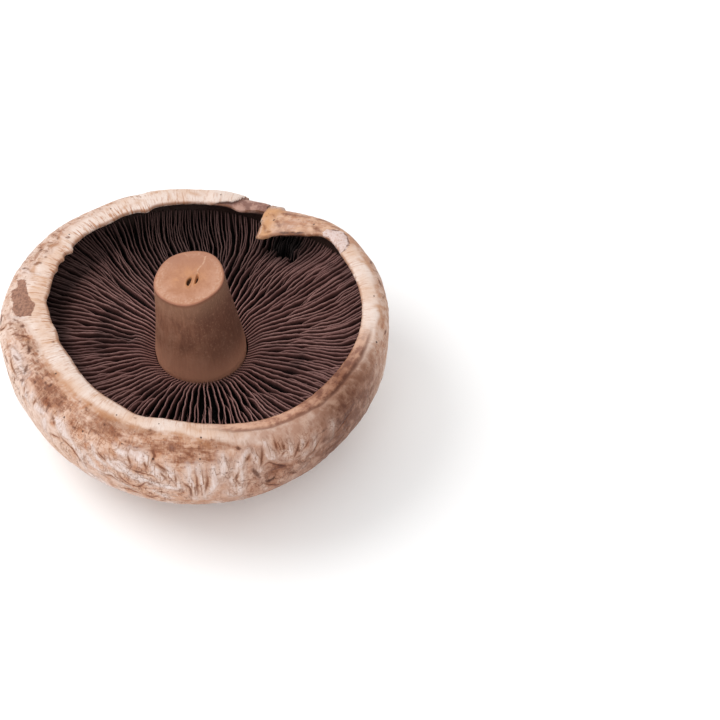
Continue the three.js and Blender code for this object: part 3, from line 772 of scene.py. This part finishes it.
def cap_skin(work):
    read, noise, span, tint, vary = work.read, work.noise, work.span, work.tint, work.vary
    times, plus, minus, unsigned = work.times, work.plus, work.minus, work.unsigned
    cover, darken = work.cover, work.darken
    along, place = read("along"), work.place("place")
    cloud = noise(place, 13.0, 3.0, 0.55)
    mottle = noise(place, 3.4, 8.0, 0.62)
    fine = noise(place, 0.8, 4.0, 0.65)
    strands, strand_height = fibres_of(work, (1, 1, 0.15), 0.62, 0.8)
    wide_strands, _ = fibres_of(work, (1, 1, 0.12), 1.7, 0.9)
    tufted, tuft_height = fibres_of(work, (1, 1, 0.42), 1.2, 0.8)
    weave, _ = fibres_of(work, (0.28, 0.28, 1), 1.0, 0.8)
    # Cream flesh along the margin, with brown and orange streaks that run out from it.
    work.colour = tint(span(cloud, 0.4, 0.66), seen(242, 223, 212), seen(231, 199, 178))
    cover(span(fine, 0.42, 0.75, 0.0, 0.22), seen(214, 168, 140))
    streak = times(span(strands, 0.5, 1.1), span(mottle, 0.36, 0.6, 0.2, 1.0))
    streaky = read("streaky")
    streak = times(streak, span(streaky, 0.0, 1.0, 0.5, 1.0))
    cover(times(streak, span(along, 14.0, 3.0, 0.4, 0.85)), seen(186, 124, 82))
    short = times(span(strands, 0.55, 0.9), span(along, 4.5, 0.5))
    cover(times(short, span(streaky, 0.0, 1.0, 0.25, 0.8)), seen(180, 116, 76))
    wide = times(span(wide_strands, 0.5, 1.1, 0.0, 0.55), span(along, 12.0, 4.0))
    wide = times(wide, work.maths("MAXIMUM", streaky, span(cloud, 0.5, 0.62, 0.1, 0.6)))
    cover(wide, seen(214, 168, 134))
    # Beyond it the skin is tan, then brown and fibrous: it deepens softly, and is woven of fine streaks.
    brown = read("brown")
    tan = tint(span(mottle, 0.4, 0.62), seen(222, 190, 172), seen(198, 150, 120))
    tan = tint(times(streaky, 0.75), tan, seen(232, 208, 194))
    cover(span(brown, 0.0, 0.3, 0.0, 0.9), tan)
    fibrous = plus(vary(tufted, 0.22), vary(weave, 0.35))
    fibrous = plus(plus(vary(mottle, 0.9), brown), fibrous)
    browned = times(span(fibrous, 0.1, 1.15), span(brown, 0.0, 0.35))
    dark_share = plus(times(mottle, 0.5), times(weave, 0.3))
    dark_share = plus(dark_share, times(strands, 0.2))
    skin_brown = tint(span(dark_share, 0.36, 0.68), seen(206, 158, 128), seen(166, 110, 80))
    cover(browned, skin_brown)
    # Orange brown blotches, a tanned right side with painted shadow over it, and the tufts.
    blotch = span(noise(place, 2.6, 4.0, 0.6, 0.8), 0.53, 0.66, 0.0, 0.6)
    cover(times(blotch, span(brown, 0.15, 0.4)), seen(190, 128, 88))
    cover(times(read("right_side"), span(mottle, 0.3, 0.62, 0.55, 0.9)), seen(190, 150, 130))
    tuft = plus(read("tufts"), plus(vary(mottle, 2.6), vary(weave, 0.8)))
    tuft_share = times(span(tuft, -1.0, 1.4), span(dark_share, 0.34, 0.66, 0.75, 1.0))
    darken(tuft_share, 0.6, 0.45, 0.35)
    # Short brown fibres lie all over it.
    bits = specks_of(work, 1.3, 0.42, 0.5, (1, 0.5, 1))
    bits_here = times(span(along, 4.0, 8.0), span(streaky, 0.0, 1.0, 0.35, 0.8))
    bits_here = times(bits_here, span(along, 48.0, 24.0, 0.25, 1.0))
    darken(times(bits, bits_here), 0.52, 0.36, 0.26)
    # A pale haze, and the whitish strands with their frayed edges in shade.
    peel = plus(read("peel"), plus(vary(tufted, 0.5), vary(strands, 0.25)))
    strand_colour = tint(span(strands, 0.2, 0.9), seen(236, 221, 217), seen(214, 188, 178))
    haze = plus(peel, plus(vary(mottle, 3.2), vary(fine, 0.8)))
    cover(times(span(haze, -1.9, 0.6, 0.0, 0.7), span(along, 6.0, 11.0)), seen(227, 206, 197))
    shred = span(plus(peel, vary(mottle, 1.2)), -0.3, 0.75)
    cover(times(shred, span(mottle, 0.62, 0.4, 0.35, 0.85)), strand_colour)
    shadow = times(span(peel, -0.8, -0.15), span(peel, 0.35, 0.0))
    darken(times(shadow, span(mottle, 0.4, 0.62, 0.0, 0.7)), 0.66, 0.52, 0.42)
    # Dark flecks, orange stains, thin curled threads, the hollow of curled skin, and the cracks.
    fleck = plus(read("flecks"), vary(fine, 0.6))
    darken(span(fleck, -0.35, 0.35, 0.0, 0.95), 0.32, 0.2, 0.14)
    stain = plus(read("stains"), plus(vary(mottle, 2.0), vary(strands, 0.5)))
    cover(span(stain, -0.9, 1.4, 0.0, 0.62), seen(198, 142, 100))
    thread = unsigned(minus(noise(work.place("grain", (1, 1, 0.55)), 2.6, 3.0, 0.5, 1.2), 0.5))
    thread = times(span(thread, 0.03, 0.005), span(cloud, 0.42, 0.56, 0.15, 0.75))
    thread = times(thread, span(along, 7.0, 11.0))
    darken(thread, 0.56, 0.4, 0.28)
    hollow = times(read("hollow"), span(mottle, 0.34, 0.56, 0.5, 1.1))
    darken(hollow, 0.62, 0.46, 0.36)
    wild = unsigned(minus(noise(work.place("grain", (1, 1, 0.62)), 5.2, 4.0, 0.55), 0.5))
    wild_line = times(span(wild, 0.016, 0.003), read("wild_here"))
    darken(times(wild_line, 0.6), 0.5, 0.34, 0.24)
    split = unsigned(plus(read("split"), vary(fine, 0.5)))
    split_here = read("split_here")
    darken(times(span(split, 1.5, 0.1, 0.0, 0.85), split_here), 0.8, 0.6, 0.44)
    split_line = times(span(split, 0.5, 0.12), split_here)
    darken(times(split_line, 0.9), 0.4, 0.23, 0.14)
    # The creased lip on the right with painted shade in its crease, and the stain and painted shadow of the
    # right side.
    crease = plus(read("crease"), vary(mottle, 1.4))
    on_lip = times(span(crease, 0.3, -0.4), read("lip_here"))
    lip_share = span(plus(mottle, vary(weave, 0.3)), 0.42, 0.66)
    lip_colour = tint(lip_share, seen(220, 172, 144), seen(170, 118, 98))
    cover(times(on_lip, 0.8), lip_colour)
    # Painted shade in the crease.
    crease_line = times(span(unsigned(crease), 0.9, 0.1, 0.0, 0.65), read("lip_here"))
    cover(crease_line, seen(132, 86, 66))
    # Painted shadow over the right side, deepest at its end, laid with its brown stain.
    darken(times(read("right_side"), span(mottle, 0.3, 0.62, 0.1, 0.6)), 0.72, 0.55, 0.44)
    darken(times(read("right_end"), span(mottle, 0.3, 0.62, 0.6, 0.95)), 0.34, 0.2, 0.12)
    # The flap: tan, orange at its torn end, with a whitish patch that has lost its skin.
    flap_colour = tint(span(mottle, 0.38, 0.62), seen(222, 176, 144), seen(188, 132, 98))
    flap_colour = tint(span(weave, 0.5, 1.0, 0.0, 0.5), flap_colour, seen(224, 194, 180))
    flap_colour = tint(span(weave, 0.4, 0.0, 0.0, 0.5), flap_colour, seen(150, 100, 76))
    cover(times(read("flap_here"), 0.8), flap_colour)
    cover(times(read("flap_tip"), span(mottle, 0.3, 0.55, 0.2, 0.8)), seen(220, 162, 112))
    flap_mark = plus(read("flap_marks"), plus(vary(mottle, 3.0), vary(fine, 0.8)))
    darken(span(flap_mark, -0.8, 0.6, 0.0, 0.85), 0.42, 0.29, 0.23)
    ragged_edge = plus(read("bare"), vary(mottle, 2.2))
    bare = tint(span(fine, 0.42, 0.7), seen(232, 212, 207), seen(202, 166, 152))
    cover(span(ragged_edge, 0.25, -0.3, 0.0, 0.9), bare)
    bare_line = times(span(unsigned(ragged_edge), 0.5, 0.1), span(mottle, 0.44, 0.52))
    cover(times(bare_line, 0.8), seen(110, 72, 56))
    # The crumbled low edge of the flap: brown flesh under a painted shadow.
    bead = times(span(plus(read("bead"), vary(fine, 0.8)), 0.25, -0.2), read("bead_here"))
    cover(times(bead, 0.95), seen(92, 58, 48))
    # The bruise on the left, dull brown with a toothed edge.
    toothed = plus(read("bruise"), vary(noise(place, 1.2, 4.0, 0.7), 1.6))
    bruise_colour = tint(span(fine, 0.38, 0.66), seen(166, 118, 94), seen(124, 82, 66))
    cover(span(toothed, 0.15, -0.2, 0.0, 0.95), bruise_colour)
    # The thin layer under the lifted skin, with a painted shadow at the foot of the step.
    layer = read("layer")
    layer_colour = tint(span(mottle, 0.38, 0.58), seen(190, 144, 128), seen(128, 78, 64))
    cover(span(layer, 0.25, -0.1, 0.0, 0.9), layer_colour)
    step_line = times(span(layer, -0.6, -0.1), span(layer, 0.3, -0.05))
    cover(times(step_line, 0.75), seen(84, 50, 42))
    # Specks of soil, and fine dark dust where the skin is brown.
    cover(times(specks_of(work, 8.0, 0.36, 0.35), 0.9), seen(66, 42, 32))
    dust = times(specks_of(work, 1.1, 0.2, 0.35), span(brown, 0.15, 0.6, 0.0, 0.5))
    cover(dust, seen(98, 64, 46))
    # The thin edge of the margin is browner, and the underside of the lip is painted near black as the shade
    # under it.
    edge = times(span(unsigned(along), 1.0, 0.1), span(mottle, 0.34, 0.54))
    cover(times(edge, 0.8), seen(160, 106, 74))
    cover(span(along, -0.7, -1.8, 0.0, 0.97), seen(40, 24, 22))
    height = plus(times(strand_height, 0.25), times(mottle, 0.45))
    height = plus(height, times(tuft_height, 0.3))
    height = plus(height, times(plus(shred, times(fine, 0.4)), 0.35))
    height = minus(height, times(plus(wild_line, split_line), 0.5))
    gloss = minus(span(fine, 0.3, 0.7, 0.5, 0.66), times(shred, 0.12))
    return {"Base Color": work.colour, "Roughness": gloss, "Normal": work.bump(height, 0.00032, 0.85)}


finish(cap, "cap_skin", cap_skin)
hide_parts("cap")
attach(cap, "root")

# Gills
# Thin dark plates of flesh, a few tenths of a millimetre thick, hang edge up from stem to rim. Short
# ones fill in between where the full ones spread apart. Ripe spore dust stains their sides dark, and
# painted shade makes them near black toward their roots, under the far lip and by the left margin.
STEM_FOOT = np.array([2.1, -1.0])
GILL_RING_RADIUS = 14.1
GILL_CLEARANCE = 0.35
# The length of a full gill, how far up the wall its root climbs, and its lowest root over the flesh.
GILL_LENGTH = 37
ROOT_RISE = 4.4
ROOT_LIFT = 1.4
FULL_GILLS = 90
# Where gills have crumbled: x, y, half length and half width, and how much of their height is gone.
CRUMBLED = [
    (26.8, 35.8, 2.4, 2.4, 0.97), (29.0, 34.2, 1.5, 1.8, 0.9),
    (22.5, 38.2, 1.8, 1.2, 0.35), (-21.5, 1.2, 4.0, 1.6, 0.2),
]
# Height of the free edges at these shares of the way out.
EDGE_SHARES = [0, 0.11, 0.36, 0.52, 0.78, 0.94, 1.0]
EDGE_HEIGHTS = [23.4, 26.2, 27.4, 27.5, 28.2, 30.2, 32.4]


def gill_place(bearing, share):
    """A place between the stem's foot, share 0, and the cap's inner wall, share 1."""
    turn = np.radians(bearing)
    outward = np.stack([np.cos(turn), np.sin(turn)], -1)
    around_foot = STEM_FOOT + GILL_RING_RADIUS * outward
    wall = (wall_radius(bearing % 360) - GILL_CLEARANCE)[..., None] * outward
    return around_foot + (wall - around_foot) * np.asarray(share)[..., None]


def gill_edge(bearing, share):
    """Height of the gills' free edges: low at the stem, level, then up under the lip."""
    smooth_rows = np.interp(share, np.linspace(0, 1, 41), SMOOTH_EDGE)
    under_lip = lip_underside(bearing % 360) - 1.2
    return np.minimum(smooth_rows, np.where(share > 0.86, under_lip, 60))


edge_heights = np.interp(np.linspace(0, 1, 401), EDGE_SHARES, EDGE_HEIGHTS)
window = np.hanning(41) / np.hanning(41).sum()
SMOOTH_EDGE = np.convolve(np.pad(edge_heights, 20, mode="edge"), window, "valid")[::10]


def gill_spots(turns, reach, seed):
    """Places that tell the gills' chance waves apart."""
    return np.stack([reach, turns[:, None] * 3.7 + 0 * reach, 0 * reach + seed], -1).reshape(-1, 3)


def gill_course(turns, share):
    """Bearing along each gill. It wanders, sways with its neighbours, and drifts toward one of them."""
    bearing = turns[:, None] * 360 / FULL_GILLS
    reach = GILL_RING_RADIUS + share * GILL_LENGTH
    spots = gill_spots(turns, reach, 0)
    wander = flesh_noise(spots / [5.5, 1, 1], 40).reshape(share.shape)
    flutter = flesh_noise(spots / [1.7, 1, 1], 41).reshape(share.shape)
    drift = np.stack([reach / 14, turns[:, None] / 6 + 0 * reach, 0 * reach], -1).reshape(-1, 3)
    pairing = np.sin(np.pi * (turns[:, None] * 2 + 0.7)) * flesh_noise(drift, 5).reshape(share.shape)
    sway = 0.035 * np.sin(np.radians(5 * bearing) + 7 * share) * share * 57.3
    aside = 0.36 * wander + 0.19 * flutter + 0.34 * pairing + 0.24 * (draws(turns, 42)[:, None] - 0.5)
    return bearing + sway + np.degrees(aside * ease(share * 5) / reach)


def ripeness(bearing, share, plan):
    """How dark the gills are made: ripe spore dust, with painted shade under the far lip and by the left
    margin, and where gills have crumbled, with the flap's painted shadow.
    """
    turned = bearing % 360
    spores = 0.88 * hump(turned - 98, 42) * ease((share - 0.1) / 0.5)
    inside = margin_radius(turned) - np.hypot(plan[..., 0], plan[..., 1])
    left = between(turned, 70, 30, 222, 20)
    spores = np.maximum(spores, 0.84 * ease((7.5 - inside) / 6) * left)
    for x, y, long, wide, depth in ((27, 38, 12, 7.5, 1.15), (-22, 1, 6, 2.6, 0.7)):
        far = np.hypot((plan[..., 0] - x) / long, (plan[..., 1] - y) / wide)
        spores = np.maximum(spores, depth * hump(far, 1))
    return np.minimum(spores, 1)


def gill_blades(name, turns, starts, parents, steps, seed):
    """Blades that run in from the wall to their start, each a thin waved plate with a rounded edge."""
    count = len(turns)
    share = starts[:, None] + (1 - starts[:, None]) * np.linspace(0, 1, steps) ** 1.05
    reach = GILL_RING_RADIUS + share * GILL_LENGTH
    spots = gill_spots(turns, reach, seed)
    chance = lambda length, kind: flesh_noise(spots / [length, 1, 1], seed + kind).reshape(share.shape)
    # A short gill forks off from the gill beside it, or rises between two.
    apart = ease((share - starts[:, None]) / 0.22)
    centre = gill_course(turns, share) * apart + gill_course(parents, share) * (1 - apart)
    plan = gill_place(centre, share)
    along_gill = np.gradient(plan, axis=1)
    side = np.stack([-along_gill[..., 1], along_gill[..., 0]], -1)
    side /= np.maximum(np.linalg.norm(side, axis=-1, keepdims=True), 1e-9)
    root = FLESH_HEIGHT + ROOT_LIFT + ROOT_RISE * ease((share - 0.78) / 0.22)
    uneven = 0.7 * (draws(turns, seed + 3)[:, None] - 0.5) + 0.3 * chance(3.1, 4)
    born = 0.25 + 0.75 * ease((share - starts[:, None]) / 0.3) if starts.max() > 0 else 1
    top = gill_edge(centre, share) + uneven * ease(share * 6) * ease((1 - share) * 12)
    gone = np.zeros(share.shape)
    for x, y, long, wide, depth in CRUMBLED:
        far = np.hypot((plan[..., 0] - x) / long, (plan[..., 1] - y) / wide)
        far = far + 0.4 * chance(1.6, 6) + 0.5 * (draws(turns, seed + 9)[:, None] - 0.5)
        gone = np.maximum(gone, depth * ease((1.15 - far) / 0.7))
    top = root + (top - root) * born * (1 - gone)
    lean = (0.5 * (draws(turns, seed + 5)[:, None] - 0.5) + 0.3 * chance(7, 7)) * apart
    # Across the blade: how far up each point is, and how far out from its middle plane.
    section = [
        (0, -0.27), (0.45, -0.22), (0.85, -0.2), (0.955, -0.18), (1, -0.08),
        (1, 0.08), (0.955, 0.18), (0.85, 0.2), (0.45, 0.22), (0, 0.27),
    ]
    up = np.array([level for level, _ in section])
    out = np.array([width for _, width in section])
    place = plan[:, :, None, :] + side[:, :, None, :] * (out + lean[..., None] * up ** 2)[..., None]
    z = root[..., None] + (top - root)[..., None] * up
    points = np.concatenate([place, z[..., None]], -1)
    width = len(section)
    index = np.arange(count * steps * width).reshape(count, steps, width)
    near = index[:, :-1, :-1]
    faces = np.stack([near, index[:, 1:, :-1], index[:, 1:, 1:], index[:, :-1, 1:]], -1).reshape(-1, 4)
    ends = [blade[end, ::order].tolist() for blade in index for end, order in ((0, 1), (-1, -1))]
    made = build(name, points.reshape(-1, 3), faces.tolist() + ends)
    plain = 0 * z
    spores = ripeness(centre, share, plan)
    give(
        made,
        edge=up + plain,
        tone=draws(turns, seed + 8)[:, None, None] + plain,
        share=share[..., None] + plain,
        spores=spores[..., None] + plain,
        grain=np.stack([reach[..., None] + plain, z, turns[:, None, None] * 7.0 + plain], -1),
    )
    return made


whole = np.arange(FULL_GILLS)
full_gills = gill_blades("full_gills", whole + 0.0, np.zeros(FULL_GILLS), whole, 72, 40)
halfway = whole + 0.5
late = np.concatenate([whole + 0.25, whole + 0.75])
late = late[draws(late, 33) < 0.85]
short_turns = np.concatenate([halfway, late])
short_starts = np.concatenate([0.06 + 0.3 * draws(halfway, 31), 0.34 + 0.45 * draws(late, 34)])
parents = np.concatenate([whole + (draws(halfway, 35) < 0.5), np.round(late)])
short_gills = gill_blades("short_gills", short_turns, short_starts, parents, 40, 60)

# The skin of flesh that the gills stand on.
ring_bearing = np.linspace(0, 360, 240, endpoint=False)
ring_share = np.linspace(0, 1, 12)[:, None] + 0 * ring_bearing
bed_plan = gill_place(ring_bearing + 0 * ring_share, ring_share)
bed_height = FLESH_HEIGHT + ROOT_LIFT + 0.1 + ROOT_RISE * ease((ring_share - 0.78) / 0.22)
bed = np.concatenate([bed_plan, bed_height[..., None]], -1)
gill_bed = closed_grid("gill_bed", bed)
gill_bed.data.flip_normals()
bed_spores = ripeness(ring_bearing + 0 * ring_share, ring_share, bed_plan)
none = 0 * bed_height
give(gill_bed, edge=none, tone=none, share=ring_share, spores=bed_spores, grain=bed)


def gill_flesh(work):
    read, noise, span, tint, cover = work.read, work.noise, work.span, work.tint, work.cover
    edge, share = read("edge"), read("share")
    fleck = noise(work.place("grain"), 1.1, 3.0, 0.6)
    patches = noise(work.place("grain", (1, 0.5, 0.1)), 8.0, 3.0, 0.55)
    # The sides are dark with spore dust, and painted near black toward the roots as the shade between the
    # blades.
    side = tint(span(edge, 0.5, 1.0), seen(14, 6, 7), seen(110, 69, 64))
    free_edge = tint(read("tone"), seen(144, 102, 97), seen(179, 135, 128))
    free_edge = tint(span(fleck, 0.35, 0.7, 0.0, 0.5), free_edge, seen(112, 76, 72))
    free_edge = tint(span(share, 0.22, 0.0, 0.0, 0.6), free_edge, seen(186, 138, 130))
    work.colour = tint(span(edge, 0.9, 0.99), side, free_edge)
    cover(span(patches, 0.52, 0.75, 0.0, 0.5), seen(38, 22, 23))
    # Ripe spore dust, and painted shade under the far lip, by the left margin and under the flap.
    spores = read("spores")
    ripe = work.maths("MAXIMUM", work.times(spores, 0.8), span(spores, 0.93, 1.0, 0.0, 0.97))
    cover(ripe, seen(12, 6, 7))
    return {"Base Color": work.colour, "Roughness": 0.75, "Normal": work.bump(fleck, 0.0001, 0.5)}


for piece in (full_gills, short_gills, gill_bed):
    finish(piece, piece.name + "_flesh", gill_flesh)
    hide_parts("gills")
    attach(piece, "root")

# Stem
# Solid fibrous flesh, cut off with a knife a little above the rim. Its skin runs in fine lengthwise
# fibres, and the knife tore two small pits in the softer pith.
STEM_TOP = np.array([0.2, -1.6, 55.0])
STEM_RADII = np.array([13.7, 13.8, 13.1, 12.4, 11.8, 11.2, 10.7, 10.3])
STEM_FOOT_HEIGHT = 19.9
# Each pit: x and y from the middle of the cut face, lean, half length, half width, depth, the way it
# bends, and how much fainter its colour is.
PITS = [(0.0, -1.4, -0.3, 1.6, 0.62, 1.3, -1, 0), (2.4, -0.7, -0.15, 1.8, 0.46, 1.2, 1, 0.3)]


# How steeply the cut face rises to the right and to the back.
CUT_SLOPE = (0.09, 0.11)


def cut_height(x, y):
    return STEM_TOP[2] + CUT_SLOPE[0] * (x - STEM_TOP[0]) + CUT_SLOPE[1] * (y - STEM_TOP[1])


stem_columns = 300
stem_bearing = np.linspace(0, 360, stem_columns, endpoint=False)
stem_turn = np.radians(stem_bearing)
levels = np.linspace(0, 1, 120)[:, None]
stem_radius = np.interp(levels, np.linspace(0, 1, 8), STEM_RADII)
oval = 0.02 * np.sin(2 * stem_turn + 0.6) + 0.015 * np.sin(5 * stem_turn + 3 * levels)
stem_radius = stem_radius * (1 + oval * np.minimum(1, 2 * levels))
middle = STEM_FOOT + (STEM_TOP[:2] - STEM_FOOT) * levels[..., None]
fibre_round = [13 * np.cos(stem_turn) + 0 * levels, 13 * np.sin(stem_turn) + 0 * levels]
fibre_at = np.stack([*fibre_round, 36 * levels + 0 * stem_turn], -1)
fibre_list = fibre_at.reshape(-1, 3)
fibres = rough(fibre_list * [1, 1, 0.1], 1.3, 71, 3).reshape(stem_radius.shape)
dents = rough(fibre_list * [1, 1, 0.5], 7, 72, 2).reshape(stem_radius.shape)
stem_radius = stem_radius + (0.1 * fibres + 0.2 * dents) * ease((1 - levels) * 30)
x = middle[..., 0] + stem_radius * np.cos(stem_turn)
y = middle[..., 1] + stem_radius * np.sin(stem_turn)
z = STEM_FOOT_HEIGHT + (cut_height(x, y) - 0.35 - STEM_FOOT_HEIGHT) * levels
side_points = np.stack([x, y, z], -1)
# The cut face: rings that run in from the rim, with its soft edge, its faint ridges and its pits.
inward = np.concatenate([[0.985], np.linspace(0.965, 0.004, 84)])[:, None]
across, deep_in = (x[-1] - STEM_TOP[0]) * inward, (y[-1] - STEM_TOP[1]) * inward
face_x, face_y = STEM_TOP[0] + across, STEM_TOP[1] + deep_in
face_flat = np.stack([face_x, face_y, 0 * face_x], -1).reshape(-1, 3)
face_noise = lambda size, seed, octaves: rough(face_flat, size, seed, octaves).reshape(face_x.shape)
face_z = cut_height(face_x, face_y) - 0.3 * np.exp(-(1 - inward) * 60)
face_z = face_z + 0.07 * face_noise(3.2, 74, 3) + 0.035 * face_noise(0.9, 75, 2)
pit = np.full(face_x.shape, 9.0)
for pit_x, pit_y, lean, long, wide, deep, way, faint in PITS:
    u, v = face_x - STEM_TOP[0] - pit_x, face_y - STEM_TOP[1] - pit_y
    u, v = u * math.cos(lean) + v * math.sin(lean), v * math.cos(lean) - u * math.sin(lean)
    bend = 0.22 * (v / long) ** 2 * way
    far = np.hypot((u + bend) / wide, v / long) + 0.12 * face_noise(0.8, 76, 2)
    face_z = face_z - deep * ease((1.15 - far) / 0.7) + 0.12 * hump(far - 1.5, 0.3)
    pit = np.minimum(pit, far + faint)
face_points = np.stack([face_x, face_y, face_z], -1)
middle_fan = [(len(levels) + len(inward) - 1, False)]
stem = closed_grid("mushroom_stem", np.concatenate([side_points, face_points]), capped=middle_fan)
# A knife scratch on the face, from the pits toward the far rim.
scratch = (face_x - STEM_TOP[0] - 2.9) - 0.42 * (face_y - STEM_TOP[1] - 3.0) + 0.25 * np.sin(1.3 * face_y)
scratch = np.where(np.abs(face_y - STEM_TOP[1] - 4.2) < 3.4, scratch, 9)
# The stem's right half is painted darker as shade.
right_half = ease((np.cos(stem_turn + 0.35) - 0.1) / 0.9) * ease((levels * 1.6 - 0.1) / 0.6)
on_stem = lambda on_side, on_face: np.concatenate([on_side + 0 * stem_radius, on_face + 0 * face_x])
give(
    stem,
    cut=on_stem(0, 1),
    pit=on_stem(9, pit),
    far_half=on_stem(0, ease((face_y - STEM_TOP[1] - 1) / 7)),
    right_half=on_stem(right_half, 0),
    scratch=on_stem(9, scratch),
    inward=on_stem(0, 10.3 * (1 - inward)),
    level=on_stem(levels, 1),
    grain=np.concatenate([fibre_at, np.stack([face_x, face_y, 60 + 0 * face_x], -1)]),
)


def stem_flesh(work):
    read, noise, span, tint, times = work.read, work.noise, work.span, work.tint, work.times
    cut = read("cut")
    level = read("level")
    fibres, fibre_height = fibres_of(work, (1, 1, 0.1), 0.8, 0.5)
    clouds = noise(work.place("grain", (1, 1, 0.7)), 6.0, 6.0, 0.62, 0.4)
    fine = noise(work.place("grain"), 0.8, 3.0, 0.6)
    side = tint(span(fibres, 0.2, 0.9), seen(126, 81, 61), seen(146, 99, 77))
    side = tint(span(clouds, 0.48, 0.7, 0.0, 0.7), side, seen(156, 113, 92))
    side = tint(span(clouds, 0.52, 0.32, 0.0, 0.6), side, seen(98, 60, 46))
    # Painted light: the lower stem is made paler, making up for the shade of the cap round its foot.
    side = tint(span(level, 0.55, 0.05, 0.0, 0.85), side, seen(206, 146, 118))
    # Painted shade on the stem's right half.
    side = tint(times(read("right_half"), 0.7), side, seen(92, 55, 42))
    side = tint(span(level, 0.72, 0.98, 0.0, 0.4), side, seen(156, 118, 94))
    side = tint(span(fine, 0.52, 0.7, 0.0, 0.45), side, seen(162, 118, 96))
    side = tint(span(level, 0.97, 0.995, 0.0, 0.7), side, seen(128, 78, 56))
    # The cut face: tan, paler and fibrous toward the rim, and orange where it has dried round the pits.
    grain = noise(work.place("grain"), 3.6, 6.0, 0.6, 0.5)
    face = tint(span(grain, 0.35, 0.68), seen(184, 128, 96), seen(200, 148, 120))
    face = tint(span(fine, 0.4, 0.7, 0.0, 0.4), face, seen(176, 120, 92))
    inward = read("inward")
    pale_ring = times(times(span(inward, 0.4, 0.9), span(inward, 4.0, 1.2)), span(fine, 0.45, 0.6, 0.1, 0.6))
    face = tint(pale_ring, face, seen(216, 172, 148))
    face = tint(span(inward, 0.7, 0.1, 0.0, 0.8), face, seen(156, 98, 76))
    face = tint(times(span(inward, 3.5, 7.0), span(grain, 0.42, 0.6, 0.1, 0.6)), face, seen(200, 138, 92))
    face = tint(times(read("far_half"), span(grain, 0.36, 0.6, 0.4, 0.9)), face, seen(172, 118, 92))
    scratch = span(work.unsigned(read("scratch")), 0.4, 0.05)
    scratch = times(scratch, span(fine, 0.36, 0.55, 0.1, 0.6))
    face = tint(scratch, face, seen(222, 180, 152))
    face = tint(span(read("pit"), 2.2, 1.1, 0.0, 0.6), face, seen(188, 124, 76))
    face = tint(span(read("pit"), 1.12, 0.75, 0.0, 0.95), face, seen(78, 46, 27))
    height = work.plus(times(fibre_height, span(cut, 0.5, 0.4)), times(fine, 0.5))
    colour = tint(cut, side, face)
    return {"Base Color": colour, "Roughness": 0.6, "Normal": work.bump(height, 0.0002, 0.7)}


finish(stem, "stem_flesh", stem_flesh)
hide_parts("stem")
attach(stem, "root")

# Floor and light
# A pale table top under plain soft studio light: a large lamp behind and to the left, and a white
# room that fills the shade.
bpy.ops.mesh.primitive_plane_add(size=3, location=(0, 0, -0.0002))
table = bpy.context.object
table.name = "table_top"
white = bpy.data.materials.new("pale_table_top")
white.use_nodes = True
white.node_tree.nodes["Principled BSDF"].inputs["Base Color"].default_value = (0.95, 0.95, 0.95, 1)
table.data.materials.append(white)
room = bpy.data.worlds.new("white_room")
room.use_nodes = True
room.node_tree.nodes["Background"].inputs["Color"].default_value = (1, 1, 1, 1)
room.node_tree.nodes["Background"].inputs["Strength"].default_value = 0.9
bpy.context.scene.world = room
bpy.context.scene.view_settings.view_transform = "Standard"


def soft_lamp(name, size, power, position, aim):
    lamp = bpy.data.lights.new(name, "AREA")
    lamp.shape, lamp.size, lamp.energy = "DISK", size, power
    made = bpy.data.objects.new(name, lamp)
    made.location = position
    direction = Vector(aim) - Vector(position)
    made.rotation_euler = direction.to_track_quat("-Z", "Y").to_euler()
    bpy.context.scene.collection.objects.link(made)


soft_lamp("back_left_lamp", 0.7, 4.5, (-0.6, 0.2, 0.7), (0, 0, 0.02))
soft_lamp("front_lamp", 0.9, 3.5, (-0.25, -0.95, 0.3), (0, 0, 0.03))
